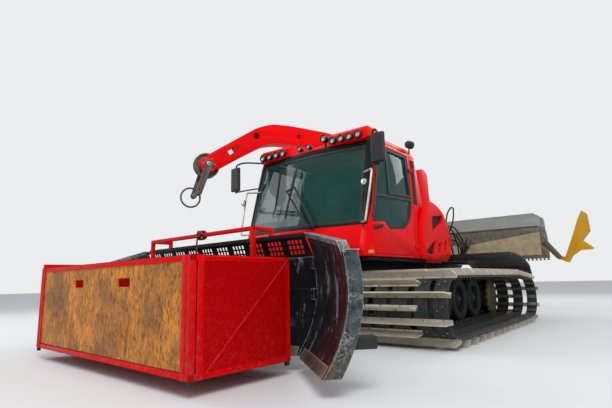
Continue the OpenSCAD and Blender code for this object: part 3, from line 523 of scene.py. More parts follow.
finishes = {
    "red_paint": paintMaterial("redPaint", (0.88, 0.0, 0.002), 0.36, 0.22, 1.5, coat=0.03),
    "black_paint": paintMaterial("blackPaint", (0.014, 0.014, 0.016), 0.42, 0.35, 1.4, coat=0.05),
    "dark_steel": metalMaterial("darkSteel", (0.09, 0.09, 0.1), 0.5, 0.5, metallic=0.6),
    "alu_bars": metalMaterial("wornAluminium", (0.66, 0.6, 0.49), 0.42, 0.55, metallic=0.7,
                              dirtColour=(0.2, 0.14, 0.09)),
    "rod_chrome": metalMaterial("rodChrome", (0.75, 0.76, 0.78), 0.14, 0.1),
    "bare_steel": metalMaterial("bareSteel", (0.36, 0.36, 0.36), 0.42, 0.45),
    "tyre_black": rubberMaterial("tyreRubber", (0.01, 0.01, 0.01), 0.7, 0.1),
    "tinted_glass": glassMaterial("tintedGlass", (0.005, 0.07, 0.06), 0.4),
    "cloth_black": rubberMaterial("seatCloth", (0.03, 0.03, 0.034), 0.9, 0.1),
    "black_plastic": plasticMaterial("blackPlastic", (0.01, 0.01, 0.011), 0.55),
    "lamp_glass": glassMaterial("lampGlass", (0.6, 0.66, 0.62), 0.22),
    "amber": plasticMaterial("amberLens", (0.85, 0.22, 0.01), 0.15),
    "plywood": plywoodMaterial("plywoodPanel"),
    "hood_grey": hoodMaterial("hoodGrey", (0.26, 0.27, 0.25), (0.17, 0.145, 0.11), 1.8, (0.52, 0.5, 0.46)),
    "tan_rubber": rubberMaterial("tanRubber", (0.42, 0.35, 0.24), 0.75, 0.2),
    "yellow_paint": paintMaterial("yellowPaint", (0.6, 0.31, 0.008), 0.38, 0.6, 3.2, chips=0.3, coat=0.0),
    "engine_iron": metalMaterial("engineIron", (0.16, 0.16, 0.17), 0.55, 0.4, metallic=0.5),
}

# Finishes of single pieces
wornRed = paintMaterial("wornRed", (0.74, 0.0, 0.002), 0.42, 0.5, 0.9, chips=0.6, coat=0.0)
brightRed = paintMaterial("brightRed", (0.88, 0.0, 0.002), 0.42, 0.3, 0.7, coat=0.0)
# darker copy of the red paint for the box's inner sheets: painted shade inside the box
innerShadeRed = paintMaterial("innerShadeRed", (0.4, 0.001, 0.002), 0.6, 0.5, 1.2, coat=0.0)
bladeBlack = bladeMaterial("bladeBlack", (0.012, 0.012, 0.014), (0.42, 0.44, 0.47))
wingRimGrey = rimMaterial("wingRimGrey", (0.012, 0.018, 0.022), (0.06, 0.085, 0.098), (0.4, 0.45, 0.46),
                          (0.075, 0.055, 0.03))
wingTopGrey = rimMaterial("wingTopGrey", (0.05, 0.07, 0.085), (0.2, 0.25, 0.29), (0.55, 0.58, 0.58),
                          (0.15, 0.12, 0.07))
beltRubber = rubberMaterial("beltRubber", (0.008, 0.009, 0.01), 0.65, 0.14)
rimGrey = metalMaterial("rimGrey", (0.055, 0.058, 0.062), 0.5, 0.5, metallic=0.5)
olivePlastic = plasticMaterial("olivePlastic", (0.16, 0.13, 0.05), 0.5)
agedSteel = metalMaterial("agedSteel", (0.15, 0.135, 0.12), 0.5, 0.7, metallic=0.7,
                          dirtColour=(0.09, 0.045, 0.025))

bodyOf = {nodeName: bodyName for bodyName, held in frame["record"]["behaviour"]["bodies"].items()
          for nodeName in held}
slotOf = {row["node"]: row["material_slot"] for row in frame["record"]["subparts"]}
for nodeName, slot in slotOf.items():
    for holder in nodes[nodeName].material_slots:
        holder.material = finishes[slot]
print("materials on the frame's nodes")


# The frame's plain solids with their edges rounded

def mergedCopy(nodeName, name):
    source = nodes[nodeName]
    piece = source.copy()
    piece.data = source.data.copy()
    bpy.context.scene.collection.objects.link(piece)
    piece.data.transform(source.matrix_world)
    piece.parent = None
    piece.matrix_world = Matrix.Identity(4)
    piece.name = piece.data.name = name
    openEdit(piece)
    bpy.ops.mesh.remove_doubles(threshold=0.00004)
    bpy.ops.mesh.dissolve_limited(angle_limit=math.radians(0.5))
    leaveEdit()
    return piece


def roundedSkin(nodeName, width):
    words = nodeName.split("_")
    name = words[0] + "".join(word.capitalize() for word in words[1:]) + "Skin"
    piece = soften(mergedCopy(nodeName, name), width, 2, 28)
    return finish(piece, bodyOf[nodeName], slotOf[nodeName], skinMaterials.get(nodeName), [nodeName])


skinEdges = {
    "nose_panel": 0.012, "cab_frame": 0.006, "cab_rear": 0.012, "cab_roof": 0.014, "rear_hood": 0.02,
    "side_pods": 0.008, "door_left": 0.008, "door_right": 0.008, "chassis_tub": 0.005, "rear_deck": 0.006,
    "track_covers": 0.008, "cab_floor": 0.004, "push_frame": 0.005, "blade_yoke": 0.005, "moldboard": 0.003,
    "mesh_screen": 0.0015, "wing_left": 0.003, "wing_right": 0.003, "winch_body": 0.005, "winch_boom": 0.016,
    "rope_guide": 0.004, "tiller_arms": 0.008, "tiller_hood": 0.006, "lift_barrels": 0.003,
    "lift_rods": 0.002, "angle_barrel_left": 0.003, "angle_barrel_right": 0.003, "tiller_barrels": 0.003,
    "side_finisher_left": 0.003, "side_finisher_right": 0.003, "engine_block": 0.01, "door_left_glass": 0.001,
    "door_right_glass": 0.001, "windscreen": 0.001,
}
skinMaterials = {"moldboard": bladeBlack, "wing_left": bladeBlack, "wing_right": bladeBlack,
                 "rope_guide": agedSteel}
skins = {nodeName: roundedSkin(nodeName, width) for nodeName, width in skinEdges.items()}
print("rounded skins:", len(skins))

# Turned places: the blade on its kingpin, the wings on their hinges, the boom on its slewing ring
turned = {"kingpinY": -2.76, "bladeYaw": -3.0, "wingHinge": (1.435, -3.095), "leftFold": -38.0,
          "rightFold": -20.0, "slewY": 1.45, "boomSlew": -22.0}
onBlade = turnAbout((0, turned["kingpinY"], 0), "Z", turned["bladeYaw"])
onLeftWing = onBlade @ turnAbout((*turned["wingHinge"], 0), "Z", turned["leftFold"])
onRightWing = onBlade @ acrossX @ turnAbout((*turned["wingHinge"], 0), "Z", turned["rightFold"])
onBoom = Matrix.Translation((0, turned["slewY"], 0)) @ turnAbout((0, 0, 0), "Z", turned["boomSlew"])


# Carrying box in front of the blade: its front is wider than its back, so the right side stands askew

carryingBox = {
    "left": 1.38, "rightFront": -1.58, "rightBack": -1.455, "front": -4.45, "back": -3.45, "floor": 0.12,
    "top": 0.985, "angleWidth": 0.046, "angleThick": 0.006, "postGap": 0.012,
    "meshLong": 0.042, "meshHigh": 0.017, "strand": 0.0056,
    "rackRight": -0.97, "rackLeft": 0.91, "rackTop": 1.31, "rackTube": 0.04, "rackBack": -3.175,
    "footHeight": 0.035, "braceWidth": 0.018, "raisedRail": 0.045,
}


def angleBar(name, start, end, first, second):
    # an angle iron along a straight line, its two flanges in the directions first and second
    start, end, first, second = Vector(start), Vector(end), Vector(first), Vector(second)
    flanges = []
    for wide, thin in ((first, second), (second, first)):
        far = end + wide * carryingBox["angleWidth"] + thin * carryingBox["angleThick"]
        low = [min(pair) for pair in zip(start, far)]
        high = [max(pair) for pair in zip(start, far)]
        flanges.append(blockPiece(name, low, high, 0.0012))
    return joined(name, flanges)


def expandedMesh(name, low, high, across, settings):
    # expanded metal between two corners of a plane x = across: a turned grid cut to size and made of strands
    midY, midZ = (low[0] + high[0]) / 2, (low[1] + high[1]) / 2
    span = max(high[0] - low[0], (high[1] - low[1]) * settings["meshLong"] / settings["meshHigh"]) * 1.5
    count = int(span / settings["meshLong"] * math.sqrt(2))
    bpy.ops.mesh.primitive_grid_add(x_subdivisions=count, y_subdivisions=count, size=span)
    piece = named(name)
    piece.data.transform(Matrix.Rotation(math.radians(45), 4, "Z"))
    piece.data.transform(Matrix.Scale(settings["meshHigh"] / settings["meshLong"], 4, (0, 1, 0)))
    piece.data.transform(sideOn(across, midY, midZ))
    openEdit(piece)
    for place, normal in (((0, low[0], 0), (0, -1, 0)), ((0, high[0], 0), (0, 1, 0)),
                          ((0, 0, low[1]), (0, 0, -1)), ((0, 0, high[1]), (0, 0, 1))):
        bpy.ops.mesh.select_all(action="SELECT")
        bpy.ops.mesh.bisect(plane_co=place, plane_no=normal, clear_outer=True)
    leaveEdit()
    modify(piece, "WIREFRAME", thickness=settings["strand"], use_even_offset=False, use_boundary=True,
           use_replace=True)
    return piece


def boxSide(box, side, inside, length):
    # rails, posts, feet and brace of one side, standing straight back from its front corner
    front, floor, top = box["front"], box["floor"], box["top"]
    width, back = box["angleWidth"], front + length
    bars, feet = [], []
    for height, inward in ((floor, 1), (top, -1)):
        bars.append(angleBar("boxRail", (side, front, height), (side, back, height), (inside, 0, 0),
                             (0, 0, inward)))
    for end, within in ((front, 1), (back, -1)):
        bars.append(angleBar("boxPost", (side, end, floor), (side, end, top), (inside, 0, 0), (0, within, 0)))
        low = (side + min(0, inside * width) + 0.006, end + min(0, within * width) + 0.006,
               floor - box["footHeight"])
        high = (side + max(0, inside * width) - 0.006, end + max(0, within * width) - 0.006, floor + 0.01)
        feet.append(blockPiece("boxFoot", low, high))
    gap = front + width + box["postGap"]
    bars.append(blockPiece("boxPost", (side - 0.004, gap, floor), (side + 0.004, gap + width, top), 0.0015))
    low, high = Vector((front + 0.12, floor + 0.03)), Vector((back - 0.03, top - 0.03))
    along = (high - low).normalized() * box["braceWidth"] / 2
    normal = Vector((-along.y, along.x))
    outline = [low - normal, high - normal, high + normal, low + normal]
    bars.append(platePiece("boxBrace", outline, sideOn(side - inside * 0.007), -inside * 0.005, 0.001))
    return bars, feet


def buildCarryingBox(box):
    places = ("left", "rightFront", "front", "back", "floor", "top")
    left, right, front, back, floor, top = (box[key] for key in places)
    width, thick = box["angleWidth"], box["angleThick"]
    depth = back - front
    askew = math.degrees(math.atan2(box["rightBack"] - right, depth))
    rightTurn = turnAbout((right, front, 0), "Z", -askew)
    rightDepth = depth / math.cos(math.radians(askew))
    frameBars, feet = boxSide(box, left, -1, depth)
    for group, added in zip((frameBars, feet), boxSide(box, right, 1, rightDepth)):
        group += [moved(piece, rightTurn) for piece in added]
    finish(moved(joined("carryingBoxFeet", feet), onBlade), "blade", "black_plastic")
    for height, inward in ((floor, 1), (top, -1)):
        for start, place, within in ((right, front, 1), (box["rightBack"], back, -1)):
            frameBars.append(angleBar("boxRail", (start, place, height), (left, place, height),
                                      (0, within, 0), (0, 0, inward)))
    for side, inside in ((left, -1), (right, 1)):
        ends = [side + inside * (width + box["postGap"] + share * width) for share in (0, 1)]
        frameBars.append(blockPiece("boxPost", (min(ends), front - 0.004, floor),
                                    (max(ends), front + 0.006, top), 0.0015))
    raised = blockPiece("raisedRail", (right, front + 0.01, top),
                        (right + width, front + rightDepth - 0.02, top + box["raisedRail"]), 0.004)
    frameBars.append(moved(raised, rightTurn))
    # rack that hooks over the blade's screen
    tube, rackTop, rackBack = box["rackTube"], box["rackTop"], box["rackBack"]
    rack = (("rackPost", (back - 0.008, top - 0.05), (back - 0.008 + tube, rackTop), 0.005),
            ("rackArm", (back + tube - 0.009, rackTop - tube), (rackBack, rackTop), 0.005),
            ("rackHook", (rackBack - tube, rackTop - 0.13), (rackBack, rackTop - tube + 0.001), 0.004))
    for x in (box["rackRight"], box["rackLeft"] - tube):
        for name, low, high, bevel in rack:
            frameBars.append(blockPiece(name, (x, *low), (x + tube, *high), bevel))
    frameBars.append(blockPiece("rackRail", (box["rackRight"], back - 0.009, rackTop - tube - 0.001),
                                (box["rackLeft"], back - 0.009 + tube, rackTop + 0.001), 0.006))
    finish(moved(joined("carryingBoxFrame", frameBars), onBlade), "blade", "red_paint", wornRed)

    plan = [(right + 0.01, front + 0.01), (left - 0.01, front + 0.01), (left - 0.01, back - 0.01),
            (box["rightBack"] + 0.01, back - 0.01)]
    floorSheet = platePiece("boxFloor", plan, Matrix.Translation((0, 0, floor + thick)), 0.004, 0)
    innerRight = blockPiece("boxSide", (right + 0.011, front + 0.03, floor + 0.01),
                            (right + 0.014, front + rightDepth - 0.01, top - 0.01), 0)
    sheets = [
        floorSheet,
        blockPiece("boxBack", (box["rightBack"], back - 0.012, floor + 0.01),
                   (left - thick, back - 0.009, top - 0.008), 0),
        blockPiece("boxSide", (left - 0.014, front + 0.03, floor + 0.01),
                   (left - 0.011, back - 0.01, top - 0.01), 0),
        moved(innerRight, rightTurn),
    ]
    # the inner sheets take the darker red, painted shade inside the box
    finish(moved(joined("carryingBoxSheets", sheets), onBlade), "blade", "red_paint", innerShadeRed,
           ["carrying_box"])
    for name, across, length, turn in (("boxMeshLeft", left + 0.002, depth, Matrix()),
                                       ("boxMeshRight", right - 0.002, rightDepth, rightTurn)):
        low, high = (front + 2 * width + 0.02, floor + 0.014), (front + length - 0.012, top - 0.014)
        mesh = moved(expandedMesh(name, low, high, across, box), turn)
        finish(moved(mesh, onBlade), "blade", "red_paint", brightRed)


strap = {
    "place": (0.06, -3.438, 1.29), "half": 0.031, "turns": (-0.03, -0.012, 0.006, 0.024),
    "knot": [(-0.02, -0.036, 0.02), (0.014, -0.052, 0.034), (0.026, -0.044, -0.004), (-0.008, -0.058, -0.022),
             (-0.028, -0.042, 0.002)],
    "tail": [(0, -0.048, -0.01), (-0.006, -0.056, -0.07), (-0.016, -0.052, -0.15), (-0.02, -0.05, -0.22)],
}
strapRed = rubberMaterial("strapRed", (0.2, 0.03, 0.02), 0.9, 0.5, (0.08, 0.05, 0.04))


def buildStrap(form):
    # cloth strap knotted round the rack's rail, its end hanging down inside the box
    place, half = form["place"], form["half"]
    pieces = []
    for shift in form["turns"]:
        offsets = [(shift, -half, -half), (shift + 0.004, half, -half), (shift + 0.008, half, half),
                   (shift + 0.004, -half, half)]
        pieces.append(pipePiece("strapTurn", shifted(place, offsets), 0.009, 8, True))
    pieces.append(pipePiece("strapKnot", shifted(place, form["knot"]), 0.012, 8, True))
    pieces.append(pipePiece("strapTail", shifted(place, form["tail"]), 0.009, 8))
    finish(moved(joined("railStrap", pieces), onBlade), "blade", "red_paint", strapRed)


buildStrap(strap)

plywoodFront = {"left": 1.334, "right": -1.534, "front": -4.442, "back": -4.421, "low": 0.171, "high": 0.944,
                "holes": (-0.56, 0.37), "holeLow": 0.762, "holeHigh": 0.836, "holeHalf": 0.115}


def buildPlywood(board):
    piece = blockPiece("plywoodBoard", (board["right"], board["front"], board["low"]),
                       (board["left"], board["back"], board["high"]), 0)
    for middle in board["holes"]:
        cutter = blockPiece("handHole", (middle - board["holeHalf"], board["front"] - 0.05, board["holeLow"]),
                            (middle + board["holeHalf"], board["back"] + 0.05, board["holeHigh"]), 0.016)
        modify(piece, "BOOLEAN", object=cutter, operation="DIFFERENCE", solver="EXACT")
        discard(cutter)
    soften(piece, 0.0015, 1)
    finish(moved(piece, onBlade), "blade", "plywood", replaces=["plywood_front"])


buildCarryingBox(carryingBox)
buildPlywood(plywoodFront)
print("carrying box")

# Tracks: belts, grouser bars with their bolts and backing plates, wheels, sprockets

trackLoop = {
    "front": (-1.475, 0.445, 0.36), "last": (1.265, 0.445, 0.36), "rear": (2.07, 0.428, 0.32),
    "beltThick": 0.022,
    "belts": ((0.79, 0.91), (0.975, 1.095), (1.17, 1.33), (1.4, 1.59), (1.675, 1.835), (1.905, 2.065)),
    "bars": 64, "barIn": 0.76, "shortEnd": 1.73, "longEnd": 2.105, "guides": (1.112, 1.376),
    "standsFor": {"left": ["track_left"], "right": ["track_left", "track_right"]},
    "barEndHeight": 0.45, "openBelt": 2, "horn": [(-0.024, -0.002), (0.024, -0.002), (0.01, -0.062),
                                                  (-0.01, -0.062)],
}
barProfile = [(-0.032, 0.0), (0.032, 0.0), (0.032, 0.007), (0.014, 0.013), (0.011, 0.06), (0.008, 0.085),
              (-0.008, 0.085), (-0.011, 0.06), (-0.014, 0.013), (-0.032, 0.007)]


def trackWheels():
    return (trackLoop[key] for key in ("front", "last", "rear"))


def trackStretches():
    # lengths of the loop's six stretches, from under the front wheel to the rear and back over the top
    (frontY, frontZ, frontR), (lastY, lastZ, lastR), (rearY, rearZ, rearR) = trackWheels()
    row = lastY - frontY
    low, high = (math.dist((lastY, lastZ + side * lastR), (rearY, rearZ + side * rearR)) for side in (-1, 1))
    return [row, low, math.pi * rearR, high, row, math.pi * frontR]


def onTrack(distance):
    # place on the outside of the belt: (y, z, angle of the outward direction)
    (frontY, frontZ, frontR), (lastY, lastZ, lastR), (rearY, rearZ, rearR) = trackWheels()
    lowStart, lowEnd = Vector((lastY, lastZ - lastR)), Vector((rearY, rearZ - rearR))
    topStart, topEnd = Vector((rearY, rearZ + rearR)), Vector((lastY, lastZ + lastR))
    stretches = trackStretches()
    distance %= sum(stretches)
    for number, length in enumerate(stretches):
        if distance < length:
            break
        distance -= length
    share = distance / length
    if number == 0:
        return frontY + distance, frontZ - frontR, -90.0
    if number == 1:
        return (*lowStart.lerp(lowEnd, share), -90.0)
    if number == 3:
        return (*topStart.lerp(topEnd, share), 90.0)
    if number == 4:
        return lastY - distance, topEnd.y, 90.0
    if number == 2:
        (y, z), radius, turn = (rearY, rearZ), rearR, -90 + 180 * share
    else:
        (y, z), radius, turn = (frontY, frontZ), frontR, 90 + 180 * share
    return y + radius * math.cos(math.radians(turn)), z + radius * math.sin(math.radians(turn)), turn


def trackPlacing(distance):
    y, z, turn = onTrack(distance)
    return Matrix.Translation((0, y, z)) @ Matrix.Rotation(math.radians(turn - 90), 4, "X")


def barPiece(name, inner, outer):
    # profile across the track, extruded outwards, its fin cut back at both ends
    low = trackLoop["barEndHeight"]
    piece = outlinePiece(name, [(inner, along, high * low) for along, high in barProfile])
    editFaces(piece)
    for length, grow in ((0.05, 1 / low), (outer - inner - 0.1, 1.0), (0.05, low)):
        extrude((length, 0, 0))
        bpy.ops.transform.resize(value=(1, 1, grow), center_override=(0, 0, 0))
    leaveEdit(outward=True)
    return piece


def beltPiece(name, inner, outer, steps=150):
    length = sum(trackStretches())
    points = [(inner, *onTrack(length * number / steps)[:2]) for number in range(steps)]
    piece = outlinePiece(name, points, "NOTHING")
    openEdit(piece, "EDGE")
    extrude((outer - inner, 0, 0))
    leaveEdit(outward=True)
    modify(piece, "SOLIDIFY", thickness=trackLoop["beltThick"], offset=-1)
    return soften(piece, 0.003, 1, 50)


def buildTrack():
    count, length, thick = trackLoop["bars"], sum(trackStretches()), trackLoop["beltThick"]
    longBar = barPiece("longBar", trackLoop["barIn"], trackLoop["longEnd"])
    shortBar = barPiece("shortBar", trackLoop["barIn"], trackLoop["shortEnd"])
    bolt = rodPiece("barBolt", (0, 0, 0.006), (0, 0, 0.017), 0.01, 6)
    boltRow = joined("boltRow", [copyOf(bolt, Matrix.Translation(((inner + outer) / 2 + side * 0.03,
                                                                  side * 0.022, 0)))
                                 for inner, outer in trackLoop["belts"] for side in (-1, 1)])
    plates = [blockPiece("backPlate", (inner + 0.012, -0.026, -thick - 0.005), (outer - 0.012, 0.026, -thick),
                         0)
              for index, (inner, outer) in enumerate(trackLoop["belts"]) if index != trackLoop["openBelt"]]
    plates += [platePiece("guideHorn", trackLoop["horn"], sideOn(x), 0.008, 0) for x in trackLoop["guides"]]
    plateRow = joined("plateRow", plates)
    bars, bolts, backs = [], [], []
    for number in range(count):
        placing = trackPlacing(number * length / count)
        bars.append(copyOf(longBar if number % 2 else shortBar, placing))
        bolts.append(copyOf(boltRow, placing))
        backs.append(copyOf(plateRow, placing))
    discard(longBar, shortBar, bolt, boltRow, plateRow)
    belts = [beltPiece("belt", *belt) for belt in trackLoop["belts"]]
    groups = (("grouserBarsLeft", bars), ("barBoltsLeft", bolts), ("backPlatesLeft", backs),
              ("beltsLeft", belts))
    for side, pieces in leftAndRight([smooth(joined(name, group), 30) for name, group in groups]):
        finish(pieces[0], "chassis", "alu_bars", replaces=trackLoop["standsFor"][side])
        finish(pieces[1], "chassis", "bare_steel")
        finish(pieces[2], "chassis", "bare_steel")
        finish(pieces[3], "chassis", "tyre_black", beltRubber)


wheelForm = {
    "places": (-1.475, -0.79, -0.105, 0.58, 1.265), "height": 0.445, "inner": 1.145,
    "tyre": [(0.215, 0.01), (0.235, 0.002), (0.29, 0.0), (0.314, 0.01), (0.327, 0.028), (0.331, 0.06),
             (0.325, 0.064), (0.325, 0.074), (0.332, 0.078), (0.332, 0.127), (0.325, 0.131), (0.325, 0.141),
             (0.331, 0.145), (0.327, 0.177), (0.314, 0.195), (0.29, 0.205), (0.262, 0.206), (0.258, 0.201),
             (0.235, 0.203), (0.215, 0.195)],
    "rim": [(0.219, 0.008), (0.21, 0.014), (0.203, 0.034), (0.203, 0.09), (0.13, 0.086), (0.085, 0.08),
            (0.06, 0.06), (0.06, 0.16), (0.082, 0.158), (0.088, 0.12), (0.13, 0.104), (0.203, 0.108),
            (0.203, 0.17), (0.21, 0.19), (0.219, 0.197), (0.222, 0.19), (0.216, 0.1), (0.222, 0.014)],
    "cap": [(0.001, 0.186), (0.04, 0.184), (0.052, 0.176), (0.056, 0.16), (0.056, 0.06), (0.001, 0.06)],
    # axle: where it starts, how far past the rim's inner face it ends, its radius
    "axle": (0.7, 0.06, 0.045), "ribs": 10, "rib": ((0.104, -0.006, 0.086), (0.122, 0.006, 0.202)),
    "nuts": 6, "nut": ((0.11, 0, 0.07), (0.172, 0, 0.07)), "nutRadius": 0.009,
}


def buildWheels(form):
    inner, height, toOutside = form["inner"], form["height"], (1, 0, 0)
    origin, centre = (inner, 0, height), (0, 0, height)
    tyre = turnedPiece("tyre", form["tyre"], origin, toOutside, 48, True)
    axleStart, pastRim, axleRadius = form["axle"]
    parts = [turnedPiece("rim", form["rim"], origin, toOutside, 40, True),
             turnedPiece("hubCap", form["cap"], origin, toOutside, 24),
             rodPiece("axle", (axleStart, 0, height), (inner + pastRim, 0, height), axleRadius, 20)]
    parts += around(blockPiece("rib", *shifted(origin, form["rib"]), 0.002), centre, form["ribs"])
    parts += around(rodPiece("nut", *shifted(origin, form["nut"]), form["nutRadius"], 6), centre,
                    form["nuts"], 12)
    disc = joined("wheelDisc", parts)
    places = [Matrix.Translation((0, place, 0)) for place in form["places"]]
    lefts = [joined(name, [copyOf(pattern, place) for place in places])
             for name, pattern in (("tyresLeft", tyre), ("wheelDiscsLeft", disc))]
    discard(tyre, disc)
    for side, (tyres, discs) in leftAndRight(lefts):
        finish(tyres, "chassis", "tyre_black", replaces=["wheels_" + side])
        finish(discs, "chassis", "dark_steel", rimGrey)


sprocketForm = {"centre": (2.07, 0.428), "teeth": 14, "root": 0.262, "tip": 0.312,
                "plates": ((1.105, 1.15), (1.345, 1.39)), "drum": [(0.001, 0.7), (0.128, 0.7), (0.128, 1.168),
                                                                   (0.2, 1.176), (0.262, 1.17), (0.262, 1.33),
                         (0.18, 1.326), (0.13, 1.36), (0.12, 1.388), (0.001, 1.39)]}


def buildSprockets(form):
    y, z = form["centre"]
    root, tip = form["root"], form["tip"]
    outline = []
    for tooth in range(form["teeth"]):
        for offset, radius in ((-9.6, root), (-7.2, root + 0.006), (-4.2, tip - 0.01), (-2.2, tip),
                               (2.2, tip), (4.2, tip - 0.01), (7.2, root + 0.006), (9.6, root)):
            turn = math.radians(360 * tooth / form["teeth"] + offset)
            outline.append((radius * math.cos(turn), radius * math.sin(turn)))
    rings = [platePiece("toothedRing", outline, sideOn(start, y, z), end - start, 0.003)
             for start, end in form["plates"]]
    ringsLeft = joined("sprocketRingsLeft", rings)
    drumLeft = turnedPiece("sprocketDrumLeft", form["drum"], (0, y, z), (1, 0, 0), 40)
    finish(joined("sprocketRings", bothSides(ringsLeft)), "chassis", "dark_steel", olivePlastic,
           ["drive_sprockets"])
    finish(joined("sprocketDrums", bothSides(drumLeft)), "chassis", "dark_steel")


buildTrack()
buildWheels(wheelForm)
buildSprockets(sprocketForm)
print("tracks, wheels and sprockets")

# Places on the skins, met by straight lines from outside

bpy.context.view_layer.update()


def castOn(skinNames, start, direction, lift):
    # nearest place where a straight line meets one of the skins, moved back by lift
    start, direction = Vector(start), Vector(direction).normalized()
    hits = []
    for nodeName in skinNames:
        met, place, normal, index = skins[nodeName].ray_cast(start, direction)
        if met:
            hits.append(((place - start).length, place))
    return min(hits)[1] - direction * lift


def onSide(skinNames):
    return lambda y, z, lift: castOn(skinNames, (3.0, y, z), (-1, 0, 0), lift), Vector((-1, 0, 0))


def onFront(skinNames):
    return lambda x, z, lift: castOn(skinNames, (x, -4.0, z), (0, 1, 0), lift), Vector((0, 1, 0))


def spread(path, step, closed=False):
    # the path with points added so that none are further apart than step
    points = []
    ends = list(zip(path, path[1:] + path[:1] if closed else path[1:]))
    for start, end in ends:
        count = max(1, math.ceil(math.dist(start, end) / step))
        points += [Vector(start).lerp(Vector(end), number / count) for number in range(count)]
    if not closed:
        points.append(Vector(path[-1]))
    return points


def drawnIn(outline, distance):
    # closed outline moved inwards, whichever way it runs
    area = sum(a[0] * b[1] - b[0] * a[1] for a, b in zip(outline, outline[1:] + outline[:1]))
    points = []
    for number, point in enumerate(outline):
        before = (Vector(point) - Vector(outline[number - 1])).normalized()
        after = (Vector(outline[(number + 1) % len(outline)]) - Vector(point)).normalized()
        inward = (Vector((-before.y, before.x)) + Vector((-after.y,
                                                          after.x))).normalized() * (1 if area > 0 else -1)
        share = abs(inward.dot(Vector((-before.y, before.x))))
        points.append(tuple(Vector(point) + inward * distance / max(0.4, share)))
    return points


def drapedStrip(name, path, width, surface, lift, depth, closed=False, bevel=0.0015):
    # flat strip along a path of two coordinates, laid on a surface, with its depth going inwards
    cast, inward = surface
    points = spread(path, 0.06, closed)
    pairs = []
    for number, point in enumerate(points):
        before = points[number - 1] if number or closed else None
        after = points[(number + 1) % len(points)] if number < len(points) - 1 or closed else None
        first = (point - before).normalized() if before is not None else (after - point).normalized()
        second = (after - point).normalized() if after is not None else first
        along = (first + second).normalized()
        side = Vector((-along.y, along.x)) * width / 2 / max(0.5, along.dot(first))
        pairs.append((point - side, point + side))
    if closed:
        pairs.append(pairs[0])
    bpy.ops.mesh.primitive_grid_add(x_subdivisions=len(pairs) - 1, y_subdivisions=1, size=1)
    piece = named(name)
    for row in (0, 1):
        for number, pair in enumerate(pairs):
            piece.data.vertices[row * len(pairs) + number].co = cast(pair[row].x, pair[row].y, lift)
    editFaces(piece)
    bpy.ops.mesh.remove_doubles(threshold=0.0005)
    extrude(inward * depth)
    leaveEdit(outward=True)
    return soften(piece, bevel, 1, 40)


def arcPoints(middle, radius, first, last, count):
    turns = [math.radians(first + (last - first) * number / count) for number in range(count + 1)]
    return [(middle[0] + radius * math.cos(turn), middle[1] + radius * math.sin(turn)) for turn in turns]


# Doors: window seals, sliding panes, handles; windscreen seal, louvres and turn signals

doorWindow = [(-1.33, 1.525), (-1.628, 1.5), (-1.202, 2.63), (-0.305, 2.645)]
doorWindow += arcPoints((-1.0, 2.06), 0.64, -3, -68, 8) + [(-0.9, 1.46), (-1.19, 1.43)]
paneFrame = [(-0.995, 2.598), (-0.395, 2.608), (-0.41, 1.985), (-1.075, 1.95)]
glassSide, doorSide = onSide(("door_left_glass", "door_left")), onSide(("door_left",))
doorStrips = (
    # name, path, width, surface, lift, depth, closed, bevel, material
    ("doorSeal", drawnIn(doorWindow, 0.02), 0.036, glassSide, 0.006, 0.012, True, 0.0015, beltRubber),
    ("paneBar", [(-1.462, 1.88), (-0.4, 1.935)], 0.042, glassSide, 0.01, 0.014, False, 0.0015, None),
    ("paneFrame", paneFrame, 0.036, glassSide, 0.014, 0.018, True, 0.0015, None),
    ("doorFrontEdge", [(-1.6, 1.56), (-1.222, 2.56)], 0.044, glassSide, 0.012, 0.016, False, 0.0015, None),
    ("handleRecess", [(-1.615, 1.425), (-1.385, 1.475)], 0.07, doorSide, 0.004, 0.006, False, 0.0015, None),
    ("handleLever", [(-1.585, 1.438), (-1.43, 1.472)], 0.022, doorSide, 0.026, 0.012, False, 0.004, rimGrey),
)
for name, path, width, surface, lift, depth, closed, bevel, material in doorStrips:
    strip = drapedStrip(name, path, width, surface, lift, depth, closed, bevel)
    twin = copyOf(strip, acrossX, name + "Right")
    finish(strip, bodyOf["door_left"], "black_plastic", material)
    finish(twin, bodyOf["door_right"], "black_plastic", material)

shield = [(-1.0, 1.5), (-0.94, 2.59), (0.94, 2.59), (1.0, 1.5)]
finish(drapedStrip("windscreenSeal", drawnIn(shield, 0.02), 0.036, onFront(("windscreen",)), 0.006, 0.012,
                   True),
       "chassis", "black_plastic", beltRubber)

louvre = {"top": (-0.158, 2.6), "low": (-0.262, 1.88), "width": 0.12, "ribs": 17}


def buildLouvre(form):
    wall, half = onSide(("cab_rear",)), form["width"] / 2 - 0.012
    pieces = [drapedStrip("louvrePanel", [form["top"], form["low"]], form["width"], wall, 0.004, 0.006)]
    for number in range(form["ribs"]):
        middle = Vector(form["top"]).lerp(Vector(form["low"]), (number + 0.5) / form["ribs"])
        path = [(middle.x + side * half, middle.y + 0.01) for side in (-1, 1)]
        pieces.append(drapedStrip("louvreRib", path, 0.018, wall, 0.018, 0.016))
    panel = joined("pillarLouvre", pieces)
    twin = copyOf(panel, acrossX, "pillarLouvreRight")
    for side in (panel, twin):
        finish(side, "chassis", "black_plastic")


buildLouvre(louvre)
noseSide = onSide(("nose_panel",))
signal = drapedStrip("turnSignal", [(-1.748, 1.112), (-1.668, 1.118)], 0.044, noseSide, 0.02, 0.022,
                     bevel=0.005)
finish(joined("turnSignals", bothSides(signal)), "chassis", "amber")

# Recessed dark panels behind the openings of the side pods
wireStep = 0.035
podWindows = [
    [(0.13, 1.74), (0.09, 1.49), (0.52, 1.68), (0.535, 1.78)],
    [(-0.15, 1.2), (-0.14, 1.14), (0.12, 1.14), (0.24, 1.39)],
    [(0.26, 1.16), (0.37, 1.16), (0.44, 1.36), (0.32, 1.31)],
    [(0.5, 1.18), (0.62, 1.2), (0.665, 1.4), (0.565, 1.36)],
    [(0.73, 1.27), (0.8, 1.3), (0.83, 1.46), (0.76, 1.44)],
]


